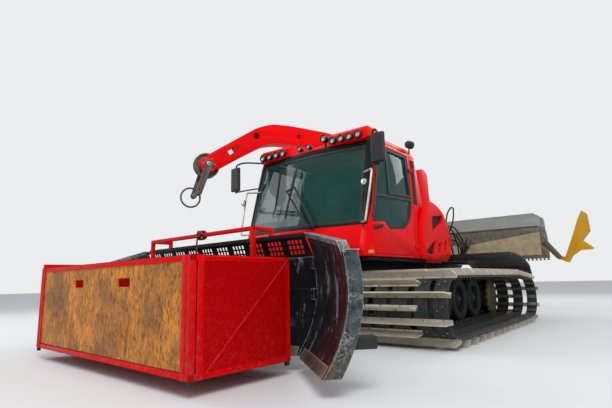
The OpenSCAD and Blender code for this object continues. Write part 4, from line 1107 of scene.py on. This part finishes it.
def buildPodPanels():
    panels = []
    for outline in podWindows:
        panels.append(platePiece("podPanel", drawnIn(outline, 0.0008), sideOn(1.1205), 0.003, 0))
        low, high = min(point[0] for point in outline), max(point[0] for point in outline)
        for number in range(1, int((high - low) / wireStep)):
            across = low + number * wireStep
            heights = []
            for start, end in zip(outline, outline[1:] + outline[:1]):
                if (start[0] - across) * (end[0] - across) < 0:
                    heights.append(start[1] + (end[1] - start[1]) * (across - start[0]) / (end[0] - start[0]))
            if len(heights) == 2 and abs(heights[0] - heights[1]) > 0.02:
                panels.append(blockPiece("podWire", (1.123, across - 0.002, min(heights) + 0.002),
                                         (1.127, across + 0.002, max(heights) - 0.002), 0))
    panelsLeft = joined("podPanels", panels)
    finish(copyOf(panelsLeft, acrossX, "podPanelsRight"), "chassis", "black_plastic")
    finish(panelsLeft, "chassis", "black_plastic")


buildPodPanels()
print("doors, seals and panels")

# Lamps: bezel, bowl, bulb and lens

lampForm = {
    "bezel": [(0.78, 0.0), (1.0, 0.0), (1.04, 0.35), (1.04, 1.0), (0.96, 1.1), (0.84, 1.06), (0.8, 0.6),
              (0.76, 0.55)],
    "bowl": [(0.02, 0.06), (0.2, 0.08), (0.42, 0.2), (0.6, 0.4), (0.76, 0.58), (0.76, 0.52), (0.6, 0.34),
             (0.42, 0.14), (0.2, 0.02), (0.02, 0.0)],
    "lens": [(0.001, 0.74), (0.4, 0.72), (0.79, 0.66), (0.79, 0.6), (0.4, 0.66), (0.001, 0.68)],
    "podLamps": [(x, -1.51, 2.724) for x in (0.47, 0.61, 0.75, 0.89)], "podRadius": 0.052,
    "stalkLamps": [((0.31, -1.5, 2.79), 0.056), ((0.02, -1.5, 2.735), 0.038), ((-0.15, -1.5, 2.735), 0.038)],
    "roofLamp": ((0.96, -0.12, 2.8), 0.06),
}


def lampParts(centre, radius, toFront=(0, -1, 0)):
    # bezel, bowl and lens turned from their profiles, and the bulb
    parts = []
    for name, steps, closed in (("bezel", 28, True), ("bowl", 24, True), ("lens", 24, False)):
        profile = [(across * radius, along * radius * 0.9) for across, along in lampForm[name]]
        parts.append(turnedPiece(name, profile, centre, toFront, steps, closed))
    end = Vector(centre) + Vector(toFront) * radius * 0.35
    return parts + [rodPiece("bulb", centre, end, radius * 0.16, 12, 0.002)]


def buildLamps():
    places = [(place, lampForm["podRadius"]) for place in lampForm["podLamps"]]
    places += [((-x, y, z), radius) for (x, y, z), radius in places]
    groups = [lampParts(place, radius) for place, radius in places]
    housings = []
    for (x, y, z), radius in lampForm["stalkLamps"]:
        groups.append(lampParts((x, y, z), radius))
        profile = [(0.001, 0.0), (radius * 0.6, 0.0), (radius * 0.95, 0.03), (radius * 1.02, 0.062),
                   (0.001, 0.062)]
        housings.append(turnedPiece("housing", profile, (x, y + 0.06, z), (0, -1, 0), 24))
        housings.append(blockPiece("stalk", (x - 0.012, -1.5, 2.65), (x + 0.012, -1.465, z - radius * 0.8)))
    (x, y, z), radius = lampForm["roofLamp"]
    toBack = (0.25, 0.97, 0)
    groups.append(lampParts((x, y + 0.02, z + 0.09), radius, toBack))
    profile = [(0.001, 0.0), (radius * 0.7, 0.006), (radius, 0.035), (radius * 1.03, 0.075), (0.001, 0.075)]
    housings.append(turnedPiece("housing", profile, (x - 0.015, y - 0.052, z + 0.09), toBack, 24))
    housings.append(rodPiece("stalk", (x, y, z - 0.16), (x, y, z + 0.05), 0.011, 12))
    bezels, bowls, lenses, bulbs = (list(parts) for parts in zip(*groups))
    finish(joined("lampBezels", bezels + housings), "chassis", "black_plastic")
    finish(joined("lampBowls", bowls), "chassis", "lamp_glass", bowlSilver, ["lamps"])
    finish(joined("lampLenses", lenses), "chassis", "lamp_glass")
    finish(joined("lampBulbs", bulbs), "chassis", "lamp_glass", bulbWarm)


bulbWarm = plasticMaterial("bulbWarm", (0.85, 0.62, 0.35), 0.3)
bowlSilver = metalMaterial("bowlSilver", (0.5, 0.53, 0.5), 0.34, 0.5)
buildLamps()

beaconForm = {"centre": (0.82, -1.0, 2.782),
              "foot": [(0.001, 0.0), (0.06, 0.0), (0.062, 0.05), (0.056, 0.072), (0.001, 0.074)],
              "dome": [(0.001, 0.18), (0.026, 0.176), (0.046, 0.16), (0.053, 0.13), (0.056, 0.074),
                       (0.001, 0.074)]}
finish(turnedPiece("beaconFoot", beaconForm["foot"], beaconForm["centre"], (0, 0, 1), 32), "chassis",
       "black_plastic")
finish(turnedPiece("beaconDome", beaconForm["dome"], beaconForm["centre"], (0, 0, 1), 32), "chassis", "amber",
       replaces=["beacon"])

# Mirrors on bent tubes, hand rails and the wiper

mirrorForm = {
    "low": 2.25, "high": 2.65, "front": -1.64, "back": -1.585, "wide": 0.2,
    "inner": {"left": 1.125, "right": 1.35}, "tubeY": -1.612,
    "tubeEnd": [(1.06, -1.47, 2.69), (0.96, -1.385, 2.672)],
    "braceEnd": [(1.06, -1.545, 2.247), (0.965, -1.505, 2.25)], "toRound": (0, -1, 0.1),
    "roundBack": [(0.001, 0.0), (0.03, 0.004), (0.046, 0.018), (0.048, 0.03), (0.001, 0.034)],
    "roundFace": [(0.001, 0.012), (0.025, 0.01), (0.04, 0.003), (0.04, 0.0), (0.001, 0.0)],
}


def buildMirrors(form):
    shells, faces, tubes = [], [], []
    low, high, back, tubeY = form["low"], form["high"], form["back"], form["tubeY"]
    for side, inner in form["inner"].items():
        outer = inner + form["wide"]
        head = blockPiece("mirrorHead", (inner, form["front"], low), (outer, back, high), 0)
        modify(head, "BEVEL", width=0.04, segments=5, limit_method="ANGLE", use_clamp_overlap=True)
        face, wideFace = (blockPiece(name, (inner + 0.018, back - 0.003, foot),
                                     (outer - 0.018, back + 0.002, top), 0.001)
                          for name, foot, top in (("mirrorFace", low + 0.085, high - 0.02),
                                                  ("wideFace", low + 0.015, low + 0.075)))
        middle = inner + form["wide"] / 2 - 0.01
        route = [(middle, tubeY, low - 0.03), (middle, tubeY, 2.66), (middle - 0.03, -1.6, 2.7),
                 *form["tubeEnd"]]
        tube = pipePiece("mirrorTube", route, 0.013, 10)
        lower = pipePiece("mirrorTube", [(middle, tubeY, low - 0.012), *form["braceEnd"]], 0.011, 10)
        roundBack = turnedPiece("roundMirror", form["roundBack"], (1.092, -1.745, 1.99), form["toRound"], 24)
        for piece, group in ((head, shells), (face, faces), (wideFace, faces), (tube, tubes), (lower, tubes),
                             (roundBack, tubes)):
            group.append(moved(piece, acrossX) if side == "right" else piece)
    faces += bothSides(turnedPiece("roundFace", form["roundFace"], (1.092, -1.776, 1.993), form["toRound"],
                                   24))
    finish(joined("mirrorHeads", shells), "chassis", "black_plastic", replaces=["mirrors"])
    finish(joined("mirrorFaces", faces), "chassis", "black_plastic", finishes["rod_chrome"])
    finish(joined("mirrorTubes", tubes), "chassis", "black_plastic", finishes["black_paint"])


railRoute = [(0.96, -1.69, 1.498), (1.06, -1.775, 1.49), (1.104, -1.806, 1.5), (1.108, -1.8, 1.53),
             (1.142, -1.66, 2.14), (1.135, -1.652, 2.168), (1.06, -1.6, 2.175), (0.905, -1.503, 2.18)]


def buildRails(route):
    rail = pipePiece("handRail", route, 0.0145, 12)
    finish(joined("handRails", bothSides(rail)), "chassis", "bare_steel", finishes["alu_bars"], ["hand_bars"])


wiperForm = {"blade": ((-0.2, -1.812, 1.65), (-0.12, -1.612, 2.43)), "clip": 0.55,
             "arms": (((0.255, -1.86, 1.478), (-0.245, -1.71, 2.07)),
                      ((0.35, -1.86, 1.49), (-0.1, -1.7, 2.11)))}


def buildWiper(form):
    start, end = (Vector(place) for place in form["blade"])
    outward = Vector((0, -1, -0.25)).normalized()
    middle = start.lerp(end, form["clip"])
    pieces = [
        rodPiece("wiperRubber", start - outward * 0.002, end - outward * 0.002, 0.01, 8),
        rodPiece("wiperSpine", start.lerp(end, 0.04) + outward * 0.014,
                 end.lerp(start, 0.04) + outward * 0.014, 0.013, 8),
        rodPiece("wiperSpine", start.lerp(end, 0.46) + outward * 0.022,
                 end.lerp(start, 0.1) + outward * 0.022, 0.018, 8),
        rodPiece("wiperClip", middle + outward * 0.004, middle + outward * 0.046, 0.014, 12, 0.002),
    ]
    for spindle, tip in form["arms"]:
        spindle, tip = Vector(spindle), Vector(tip)
        pieces.append(rodPiece("wiperArm", spindle + outward * 0.014, tip + outward * 0.01, 0.014, 10))
        pieces.append(rodPiece("wiperBoss", spindle - outward * 0.035, spindle + outward * 0.03, 0.024, 18,
                               0.004))
    tips = [Vector(arm[1]) + outward * 0.014 for arm in form["arms"]]
    pieces += [rodPiece("wiperLink", tips[0], place, 0.014, 10)
               for place in (middle + outward * 0.036, tips[1])]
    finish(joined("wiper", pieces), "chassis", "black_plastic", replaces=["wipers"])


buildMirrors(mirrorForm)
buildRails(railRoute)
buildWiper(wiperForm)
print("lamps, mirrors, rails and wiper")

# Wings: worn end rims, plated top edges, a rubbed cutting edge and the buffers behind their ends

wingForm = {"centre": (-4.125, 0.729), "face": 0.997, "rimOut": 1.106, "rim": (2.434, 2.475), "low": 0.131,
            "high": 0.989, "topEdge": ((1.514, 1.213), (2.402, 1.061), (2.428, 0.994)), "topDeep": 0.078,
            "topThick": 0.04, "edgeLow": 0.131, "edgeHigh": 0.21, "edgeStart": 1.552, "edgeDeep": 0.003,
            "bladeHalf": 1.32, "cap": [(-3.15, 0.986), (-3.15, 0.994), (-3.036, 0.994), (-3.036, 0.986)],
            "bufferLow": (2.3, -3.19, 0.302), "bufferHigh": (2.402, -2.908, 0.394)}


def facePoint(radius, height):
    # place (y, z) on the blade's curve at a height
    return wingForm["centre"][0] + math.sqrt(radius ** 2 - (height - wingForm["centre"][1]) ** 2), height


def curvedPlate(name, across, inner, outer, low, high, bevel=0.002, count=16):
    # plate that follows the blade's curve between two radii and two heights
    outline = []
    for radius, rising in ((inner, True), (outer, False)):
        first, last = (math.degrees(math.asin((height - wingForm["centre"][1]) / radius))
                       for height in (low, high))
        curve = arcPoints(wingForm["centre"], radius, first, last, count)
        outline += curve if rising else curve[::-1]
    return platePiece(name, outline, sideOn(across[0]), across[1] - across[0], bevel)


def buildWingTrim(form):
    rim = curvedPlate("rim", form["rim"], form["face"] - 0.001, form["rimOut"], form["low"], form["high"],
                      0.006, 26)
    first, middle, last = (Vector(point) for point in form["topEdge"])
    drop = Vector((0, form["topThick"]))
    outline = [first, middle, last, last - drop, middle - drop, first - drop]
    top = platePiece("topPlate", outline, frontOn(0), form["topDeep"], 0)
    editFaces(top)
    bpy.ops.mesh.subdivide(number_cuts=6)
    leaveEdit()
    for vertex in top.data.vertices:
        vertex.co.y += facePoint(form["face"] - 0.003, vertex.co.z)[0]
    soften(top, 0.004)
    edgeSize = (form["face"] - form["edgeDeep"], form["face"], form["edgeLow"], form["edgeHigh"], 0.001, 4)
    edge = curvedPlate("cuttingEdge", (form["edgeStart"], form["rim"][0]), *edgeSize)
    cap = platePiece("rimCap", form["cap"], sideOn(form["rim"][0] - 0.006), 0.052, 0.002)
    buffer = blockPiece("wingBuffer", form["bufferLow"], form["bufferHigh"], 0.012)
    topParts = joined("topParts", [top, cap])
    for side, placing in (("Left", onLeftWing), ("Right", onRightWing)):
        for piece, name, material in ((buffer, "wingBuffer", finishes["tyre_black"]),
                                      (rim, "wingRim", wingRimGrey), (topParts, "wingTop", wingTopGrey),
                                      (edge, "wingEdge", wingRimGrey)):
            finish(copyOf(piece, placing, name + side), "wing_" + side.lower(), "black_paint", material)
    discard(rim, topParts, edge, buffer)
    bladeEdge = curvedPlate("bladeCuttingEdge", (-form["bladeHalf"], form["bladeHalf"]), *edgeSize)
    finish(moved(bladeEdge, onBlade), "blade", "black_paint", wingRimGrey)


buildWingTrim(wingForm)
print("wings")

# Cab inside: dark lining on the inner faces, padded seats, levers and a screen

cabLining = {"middle": (0, -0.9, 1.9), "low": (-1.14, -1.76, 1.05), "high": (1.14, 0.05, 2.745),
             "nodes": ("cab_rear", "cab_roof", "door_left", "door_right")}
liningGrey = plasticMaterial("liningGrey", (0.014, 0.015, 0.017), 0.8, 0.0)


def lineCab(form):
    middle = Vector(form["middle"])
    for nodeName in form["nodes"]:
        piece = skins[nodeName]
        piece.data.materials.append(liningGrey)
        for face in piece.data.polygons:
            inside = all(low < part < high for low, part, high in zip(form["low"], face.center, form["high"]))
            if inside and face.normal.dot((middle - face.center).normalized()) > 0.25:
                face.material_index = 1


seatForm = {"x": 0.43, "halfWidth": 0.235, "cushionLow": 1.33, "cushionHigh": 1.47, "front": -0.905,
            "back": -0.385, "backFoot": (-0.425, 1.455), "backTop": (-0.325, 2.01), "backThick": 0.11,
            "headHigh": 0.15, "headHalf": 0.12}
seatCloth = rubberMaterial("seatWeave", (0.075, 0.077, 0.085), 0.95, 0.1)


def padPiece(name, size, crown):
    # crowned cushion about the origin, its sides drawn in between the corners
    bpy.ops.mesh.primitive_cube_add(size=1)
    piece = named(name)
    piece.scale = size
    editFaces(settle(piece))
    bpy.ops.mesh.subdivide(number_cuts=7)
    leaveEdit()
    for vertex in piece.data.vertices:
        u, v, w = (2 * part / length for part, length in zip(vertex.co, size))
        swell = (1 - u * u) * (1 - v * v)
        vertex.co.z += crown * swell * (1 if w > 0 else -0.3 if w < 0 else 0)
        vertex.co.x *= 1 - 0.03 * (1 - v * v) * abs(u)
        vertex.co.y *= 1 - 0.03 * (1 - u * u) * abs(v)
        if w > 0.99 and 0.42 < abs(u) < 0.6:
            vertex.co.z -= crown * 0.5
    modify(piece, "BEVEL", width=0.018, segments=3, limit_method="ANGLE", angle_limit=math.radians(50),
           use_clamp_overlap=True)
    modify(piece, "SUBSURF", levels=1, render_levels=1)
    activate(piece)
    bpy.ops.object.shade_smooth()
    return piece


def buildSeats(form):
    wide, thick, headHigh = 2 * form["halfWidth"], form["backThick"], form["headHigh"]
    front, back, low, high = form["front"], form["back"], form["cushionLow"], form["cushionHigh"]
    foot, top = Vector((0, *form["backFoot"])), Vector((0, *form["backTop"]))
    upright = (top - foot).normalized()
    lean = Matrix.Rotation(math.atan2(upright.z, upright.y), 4, "X")
    turnRound = Matrix.Rotation(math.pi, 4, "Y") @ Matrix.Rotation(math.pi, 4, "Z")
    pads = [
        moved(padPiece("cushion", (wide, back - front, high - low), 0.022),
              Matrix.Translation((0, (front + back) / 2, (low + high) / 2))),
        moved(padPiece("backrest", (wide * 0.96, (top - foot).length, thick), 0.018),
              Matrix.Translation((foot + top) / 2) @ lean @ turnRound),
        moved(padPiece("headrest", (2 * form["headHalf"], headHigh, thick * 0.9), 0.012),
              Matrix.Translation(top + upright * (headHigh / 2 + 0.015)) @ lean),
    ]
    shell = [blockPiece("seatBase", (-0.2, -0.78, 1.075), (0.2, -0.42, 1.2), 0.02),
             blockPiece("seatSlide", (-0.225, -0.86, 1.2), (0.225, -0.4, 1.318), 0.03)]
    shell += [rodPiece("armPost", (x, -0.42, 1.5), (x, -0.4, 1.64), 0.012, 10) for x in (0.262, -0.262)]
    shell += [blockPiece("armRest", (x, -0.76, 1.64), (x + 0.052, -0.39, 1.68), 0.016)
              for x in (0.238, -0.29)]
    padSet, shellSet = joined("seatPads", pads), joined("seatShell", shell)
    places = [Matrix.Translation((x, 0, 0)) for x in (-form["x"], form["x"])]
    padSets, shellSets = ([copyOf(pattern, place) for place in places] for pattern in (padSet, shellSet))
    discard(padSet, shellSet)
    padded = finish(joined("seatCushions", padSets), "chassis", "cloth_black", seatCloth, ["seats"])
    finish(joined("seatFrames", shellSets), "chassis", "black_plastic")


controls = {
    "screen": ((0.56, -1.47, 1.5), (0.8, -1.44, 1.68)), "sticks": ((0.15, -0.74), (0.23, -0.74)),
    "grip": [(0.001, 0.0), (0.02, 0.004), (0.025, 0.03), (0.022, 0.07), (0.014, 0.088), (0.001, 0.092)],
    "wheelCentre": (0.43, -1.25, 1.56), "wheelRadius": 0.17, "wheelTilt": 38, "spokes": (0.4, 2.6, 4.7),
}


def buildControls(form):
    (left, front, low), (right, back, high) = form["screen"]
    screen = blockPiece("screenCase", *form["screen"], 0.01)
    glassFace = blockPiece("screenFace", (left + 0.015, back - 0.002, low + 0.015),
                           (right - 0.015, back + 0.002, high - 0.015), 0.001)
    post = rodPiece("screenPost", (0.68, -1.46, 1.43), (0.68, -1.458, 1.52), 0.014, 12)
    sticks = []
    for x, y in form["sticks"]:
        sticks.append(rodPiece("stick", (x, y, 1.29), (x, y - 0.03, 1.43), 0.009, 10))
        sticks.append(turnedPiece("grip", form["grip"], (x, y - 0.03, 1.425), (0, -0.2, 1), 16))
    radius = form["wheelRadius"]
    spokes = [ringPiece("wheelRim", radius, 0.014, 40, 10)]
    spokes += [rodPiece("spoke", (0, 0, 0), (radius * math.cos(turn), radius * math.sin(turn), 0), 0.01, 8)
               for turn in form["spokes"]]
    spokes.append(rodPiece("hub", (0, 0, -0.02), (0, 0, 0.022), 0.036, 16, 0.006))
    tilt = Matrix.Rotation(math.radians(form["wheelTilt"]), 4, "X")
    steering = moved(joined("steering", spokes), Matrix.Translation(form["wheelCentre"]) @ tilt)
    column = rodPiece("column", (0.43, -1.46, 1.42), (0.43, -1.262, 1.548), 0.022, 12)
    finish(joined("cabControls", [screen, post, steering, column] + sticks), "chassis", "black_plastic")
    finish(glassFace, "chassis", "black_plastic", screenDark)


rearWindow = {"low": 1.64, "high": 2.46, "half": 0.78}


def buildRearWindow(form):
    rim = [(-form["half"], form["low"]), (form["half"], form["low"]), (form["half"], form["high"]),
           (-form["half"], form["high"])]
    wallLine = [castOn(("cab_rear",), (0.9, 2.0, height), (0, -1, 0), 0)
                for height in (form["low"], form["high"])]
    slope = (wallLine[1].y - wallLine[0].y) / (form["high"] - form["low"])
    toBack = Matrix(((1, 0, 0, 0), (0, slope, 1, wallLine[0].y - slope * form["low"] - 0.034), (0, 1, 0, 0),
                     (0, 0, 0, 1)))
    pane = platePiece("rearPane", drawnIn(rim, 0.001), toBack, 0.006, 0)
    finish(pane, "chassis", "tinted_glass", smokedGlass)
    outer = platePiece("rearSeal", drawnIn(rim, 0.0005), toBack, 0.026, 0)
    inner = platePiece("cut", drawnIn(rim, 0.035), toBack, 0.2, 0)
    moved(inner, Matrix.Translation((0, -0.1, 0)))
    modify(outer, "BOOLEAN", object=inner, operation="DIFFERENCE", solver="EXACT")
    discard(inner)
    finish(moved(outer, Matrix.Translation((0, -0.006, 0))), "chassis", "black_plastic", beltRubber)


smokedGlass = glassMaterial("smokedGlass", (0.016, 0.034, 0.036), 0.82)
buildRearWindow(rearWindow)
screenDark = plasticMaterial("screenDark", (0.02, 0.05, 0.06), 0.12)
lineCab(cabLining)
buildSeats(seatForm)
buildControls(controls)
print("cab inside")

# Winch drum with its rope, sheave, axle caps and rope ring on the boom

boomForm = {"tip": (3.94, 2.58), "ring": (4.175, 2.06), "ringRadius": 0.145, "ringWire": 0.014,
            "sheaveProfile": [(0.046, -0.036), (0.075, -0.038), (0.08, -0.016), (0.16, -0.013),
                              (0.172, -0.038), (0.198, -0.038), (0.2, -0.034), (0.172, -0.012), (0.168, 0.0),
                              (0.172, 0.012), (0.2, 0.034), (0.198, 0.038), (0.172, 0.038), (0.16, 0.013),
                              (0.08, 0.016), (0.075, 0.038), (0.046, 0.036)],
            "cap": [(0.001, 0.016), (0.03, 0.016), (0.04, 0.012), (0.044, 0.004), (0.044, -0.002),
                    (0.001, -0.002)],
            "capX": 0.15, "boltX": 0.126, "boltRing": 0.095,
            # places and radii of the bosses on the boom's sides: distance out, height, radius
            "bosses": ((3.14, 3.15, 0.052), (2.35, 3.255, 0.036), (1.2, 3.2, 0.036)), "bossX": 0.1255,
            "slewRadius": 0.322, "slewTop": 2.054, "slewBolts": 20}
drumForm = {"centre": (1.45, 1.44), "half": 0.412, "core": 0.2305, "rope": 0.0075, "boltRing": 0.275,
            "bolts": 8, "flangeX": 0.413, "boltX": 0.438,
            "flange": [(0.228, 0.0), (0.322, 0.0), (0.326, 0.012), (0.322, 0.027), (0.228, 0.027)]}


def buildBoomParts(form):
    tipU, tipV = form["tip"]
    tip = (0, -tipU, tipV)
    sheave = turnedPiece("ropeSheave", form["sheaveProfile"], tip, (1, 0, 0), 56, True)
    finish(moved(sheave, onBoom), bodyOf["boom_sheave"], "bare_steel", agedSteel, ["boom_sheave"])
    caps, reach = [], form["boltRing"]
    for side in (-1, 1):
        caps.append(turnedPiece("axleCap", form["cap"], (side * form["capX"], -tipU, tipV), (side, 0, 0), 28))
        caps += boltCircle("capBolt", 6, lambda across, up: (side * form["boltX"], -tipU + reach * across,
                                                             tipV + reach * up),
                           (side * 0.012, 0, 0), 0.011)
    finish(moved(joined("boomAxleCaps", caps), onBoom), bodyOf["winch_boom"], "bare_steel")
    ring = ringPiece("ropeRing", form["ringRadius"], form["ringWire"], 64, 12)
    ring.data.transform(Matrix.Translation((0, -form["ring"][0],
                                            form["ring"][1])) @ Matrix.Rotation(math.radians(90), 4, "Y"))
    bpy.ops.object.shade_smooth()
    finish(moved(ring, onBoom), bodyOf["rope_ring"], "bare_steel", agedSteel, ["rope_ring"])


def buildDrum(form):
    (y, z), wire = form["centre"], form["rope"]
    coil = ringPiece("coil", form["core"] + wire * 0.9, wire, 40, 6)
    coil.data.transform(Matrix.Rotation(math.radians(90), 4, "Y"))
    turns = int(2 * form["half"] / (2 * wire))
    coils = [copyOf(coil, Matrix.Translation((-form["half"] + (2 * number + 1) * wire, y, z)))
             for number in range(turns)]
    discard(coil)
    rope = joined("drumRope", coils)
    activate(rope)
    bpy.ops.object.shade_smooth()
    finish(rope, "chassis", "bare_steel", finishes["dark_steel"])
    flanges, reach = [], form["boltRing"]
    for side in (-1, 1):
        flanges.append(turnedPiece("flange", form["flange"], (side * form["flangeX"], y, z), (side, 0, 0), 48,
                                   True))
        flanges += boltCircle("flangeBolt", form["bolts"],
                              lambda across, up: (side * form["boltX"], y + reach * across, z + reach * up),
                              (side * 0.014, 0, 0), 0.014)
    finish(joined("drumFlanges", flanges), "chassis", "dark_steel")


def buildBoomTrim(form):
    plates = []
    for distance, height, radius in form["bosses"]:
        profile = [(radius - 0.014, -0.004), (radius - 0.014, 0.008), (radius, 0.008),
                   (radius + 0.004, -0.004)]
        plates += [turnedPiece("boss", profile, (side * form["bossX"], -distance, height), (side, 0, 0), 28,
                               True) for side in (-1, 1)]
    finish(moved(joined("boomBosses", plates), onBoom), bodyOf["winch_boom"], "red_paint",
           finishes["black_paint"])
    reach = form["slewRadius"]
    bolts = boltCircle("slewBolt", form["slewBolts"],
                       lambda across, up: (reach * across, reach * up, form["slewTop"]), (0, 0, 0.014), 0.014)
    finish(moved(joined("slewBolts", bolts), onBoom), bodyOf["winch_boom"], "bare_steel")


buildBoomParts(boomForm)
buildDrum(drumForm)
buildBoomTrim(boomForm)
print("winch and boom")

# Tiller: tan sheets, seams and brackets; hoses behind the cab

tillerForm = {
    "face": 3.705, "sheet": [(-1.98, 1.207), (1.98, 1.207), (1.98, 1.678), (0.56, 1.498), (-0.56, 1.498),
                             (-1.98, 1.678)],
    "bolts": 13, "halfWidth": 1.99, "seamY": 3.7165, "seamZ": 1.8,
}
tanSheet = rubberMaterial("tanSheet", (0.4, 0.32, 0.19), 0.8, 0.75, (0.16, 0.12, 0.08))
# dark brown for the clamp bar along the seam: painted shade between the hood and the tan sheet
seamShadeDark = rubberMaterial("seamShadeDark", (0.07, 0.06, 0.05), 0.85, 0.3)


def buildTillerSheets(form):
    flap = platePiece("tillerFlap", form["sheet"], frontOn(form["face"]), 0.005, 0)
    editFaces(flap, lambda face: abs(face.normal.y) > 0.9)
    bpy.ops.mesh.quads_convert_to_tris()
    bpy.ops.mesh.subdivide(number_cuts=5)
    leaveEdit()
    for vertex in flap.data.vertices:
        fall = (1.68 - vertex.co.z) / 0.47
        vertex.co.y -= 0.01 * fall * fall * (1 + 0.5 * math.sin(vertex.co.x * 7))
    soften(flap, 0)
    finish(flap, bodyOf["tiller_hood"], "tan_rubber", tanSheet)
    half, y, z = form["halfWidth"], form["seamY"], form["seamZ"]
    bars = [blockPiece("clampBar", (-half + 0.03, y - 0.01, z - 0.02), (half - 0.03, y + 0.004, z + 0.012))]
    for number in range(form["bolts"]):
        x = -half + 0.12 + number * (2 * half - 0.24) / (form["bolts"] - 1)
        bars.append(rodPiece("clampBolt", (x, y - 0.02, z - 0.004), (x, y - 0.008, z - 0.004), 0.012, 6))
    # clamp bar and bolts in the dark brown of the painted shade along the seam
    finish(joined("tillerClamp", bars), bodyOf["tiller_hood"], "hood_grey", seamShadeDark)


hoses = {
    "loop": [(1.04, 0.96, 1.48), (1.055, 0.93, 1.62), (1.08, 0.93, 1.75), (1.13, 0.95, 1.92),
             (1.185, 0.965, 1.965), (1.2, 0.97, 1.88), (1.175, 0.965, 1.72), (1.1, 0.985, 1.56),
             (1.02, 1.04, 1.44)],
    "bunch": [
        [(0.62, 1.3, 1.2), (0.79, 1.38, 1.65), (0.9, 1.6, 1.72), (0.93, 1.9, 1.61), (0.93, 2.15, 1.39),
         (0.88, 2.33, 1.075)],
        [(0.62, 1.45, 1.15), (0.78, 1.5, 1.5), (0.91, 1.64, 1.59), (0.94, 1.86, 1.49), (0.93, 2.06, 1.29),
         (0.88, 2.19, 1.075)],
        [(0.6, 1.56, 1.1), (0.72, 1.64, 1.4), (0.86, 1.74, 1.48), (0.91, 1.95, 1.37), (0.89, 2.11, 1.21),
         (0.83, 2.22, 1.075)],
        [(0.62, 1.2, 1.3), (0.8, 1.26, 1.62), (0.93, 1.43, 1.67), (0.95, 1.64, 1.52), (0.94, 1.8, 1.3),
         (0.9, 1.91, 1.075)],
        [(0.64, 1.1, 1.25), (0.84, 1.16, 1.52), (0.93, 1.29, 1.5), (0.94, 1.45, 1.33), (0.92, 1.56, 1.18),
         (0.86, 1.64, 1.075)],
        [(-0.62, 1.03, 1.1), (-0.66, 1.12, 1.44), (-0.8, 1.24, 1.56), (-0.9, 1.36, 1.34),
         (-0.88, 1.42, 1.075)],
        [(-0.6, 1.5, 1.08), (-0.64, 1.66, 1.26), (-0.7, 1.88, 1.3), (-0.7, 2.2, 1.075)],
    ],
    "radius": 0.015, "loopRadius": 0.013,
}


def buildHoses(form):
    pieces = [pipePiece("hose", form["loop"], form["loopRadius"], 10)]
    fittings = []
    for route in form["bunch"]:
        pieces.append(pipePiece("hose", route, form["radius"], 10))
        for end, inward in ((route[0], route[1]), (route[-1], route[-2])):
            start, toward = Vector(end), (Vector(inward) - Vector(end)).normalized()
            fittings.append(rodPiece("fitting", start - toward * 0.02, start + toward * 0.045,
                                     form["radius"] + 0.006, 6, 0.002))
    finish(joined("hydraulicHoses", pieces), "chassis", "black_plastic", beltRubber)
    finish(joined("hoseFittings", fittings), "chassis", "bare_steel")


buildTillerSheets(tillerForm)
buildHoses(hoses)
print("tiller and hoses")

# Camera at the photograph's place, fitted in part coordinates
cameraPlace = {
    "location": (3.875, -6.455, 0.78),
    "right": (0.78, 0.625, -0.022),
    "up": (0.1246, -0.1206, 0.9848),
    "focalPixels": 440.0,
    "photoWidth": 612.0,
    "sensor": 36.0,
}


def addCamera(settings):
    right = Vector(settings["right"]).normalized()
    up = Vector(settings["up"])
    up = (up - right * up.dot(right)).normalized()
    back = right.cross(up)
    turn = Matrix((right, up, back)).transposed().to_4x4()
    bpy.ops.object.camera_add()
    camera = named("photoCamera")
    camera.matrix_world = Matrix.Translation(settings["location"]) @ turn
    camera.data.sensor_width = settings["sensor"]
    camera.data.lens = settings["focalPixels"] / settings["photoWidth"] * settings["sensor"]
    camera.data.clip_end = 200
    bpy.context.scene.camera = camera


addCamera(cameraPlace)

studio = {
    "floorColour": (0.72, 0.73, 0.74),
    "floorRadius": 60.0,
    "skyStrength": 0.62,
    "lamps": {"key": ((7.0, -9.0, 10.0), 900.0), "fill": ((-9.0, -5.0, 7.0), 350.0),
              "back": ((2.0, 11.0, 9.0), 400.0)},
    "lampSize": 6.0,
}


def addStudio(settings):
    bpy.ops.mesh.primitive_circle_add(vertices=96, radius=settings["floorRadius"], fill_type="NGON")
    floor = named("studioFloor")
    material, tree, shader = newMaterial("floorPale", settings["floorColour"], 0.9)
    clouds = ramp(tree, noise(tree, 1.2, 3.0), 0.3, 0.7, 0.0, 0.08)
    feed(shader, "Base Color", blendColour(tree, clouds, settings["floorColour"], (0.66, 0.67, 0.68)))
    floor.data.materials.append(material)
    world = bpy.context.scene.world or bpy.data.worlds.new("studioWorld")
    bpy.context.scene.world = world
    world.use_nodes = True
    tree = world.node_tree
    background = tree.nodes["Background"]
    background.inputs["Color"].default_value = (0.94, 0.97, 1.0, 1)
    background.inputs["Strength"].default_value = settings["skyStrength"]
    plain = addNode(tree, "ShaderNodeBackground", Color=(0.93, 0.94, 0.96, 1), Strength=0.9)
    path = addNode(tree, "ShaderNodeLightPath")
    seen = maths(tree, "ADD", path.outputs["Is Camera Ray"], path.outputs["Is Transmission Ray"])
    mixed = addNode(tree, "ShaderNodeMixShader")
    tree.links.new(seen, mixed.inputs[0])
    tree.links.new(background.outputs[0], mixed.inputs[1])
    tree.links.new(plain.outputs[0], mixed.inputs[2])
    tree.links.new(mixed.outputs[0], tree.nodes["World Output"].inputs["Surface"])
    for name, (place, power) in settings["lamps"].items():
        bpy.ops.object.light_add(type="AREA", location=place)
        lamp = bpy.context.active_object
        lamp.name = name + "Light"
        lamp.data.energy = power
        lamp.data.size = settings["lampSize"]
        lamp.rotation_mode = "QUATERNION"
        lamp.rotation_quaternion = (Vector((0, 0, 1)) - lamp.location).to_track_quat("-Z", "Y")


addStudio(studio)
bpy.context.scene.view_settings.view_transform = "Standard"
print("camera and studio")
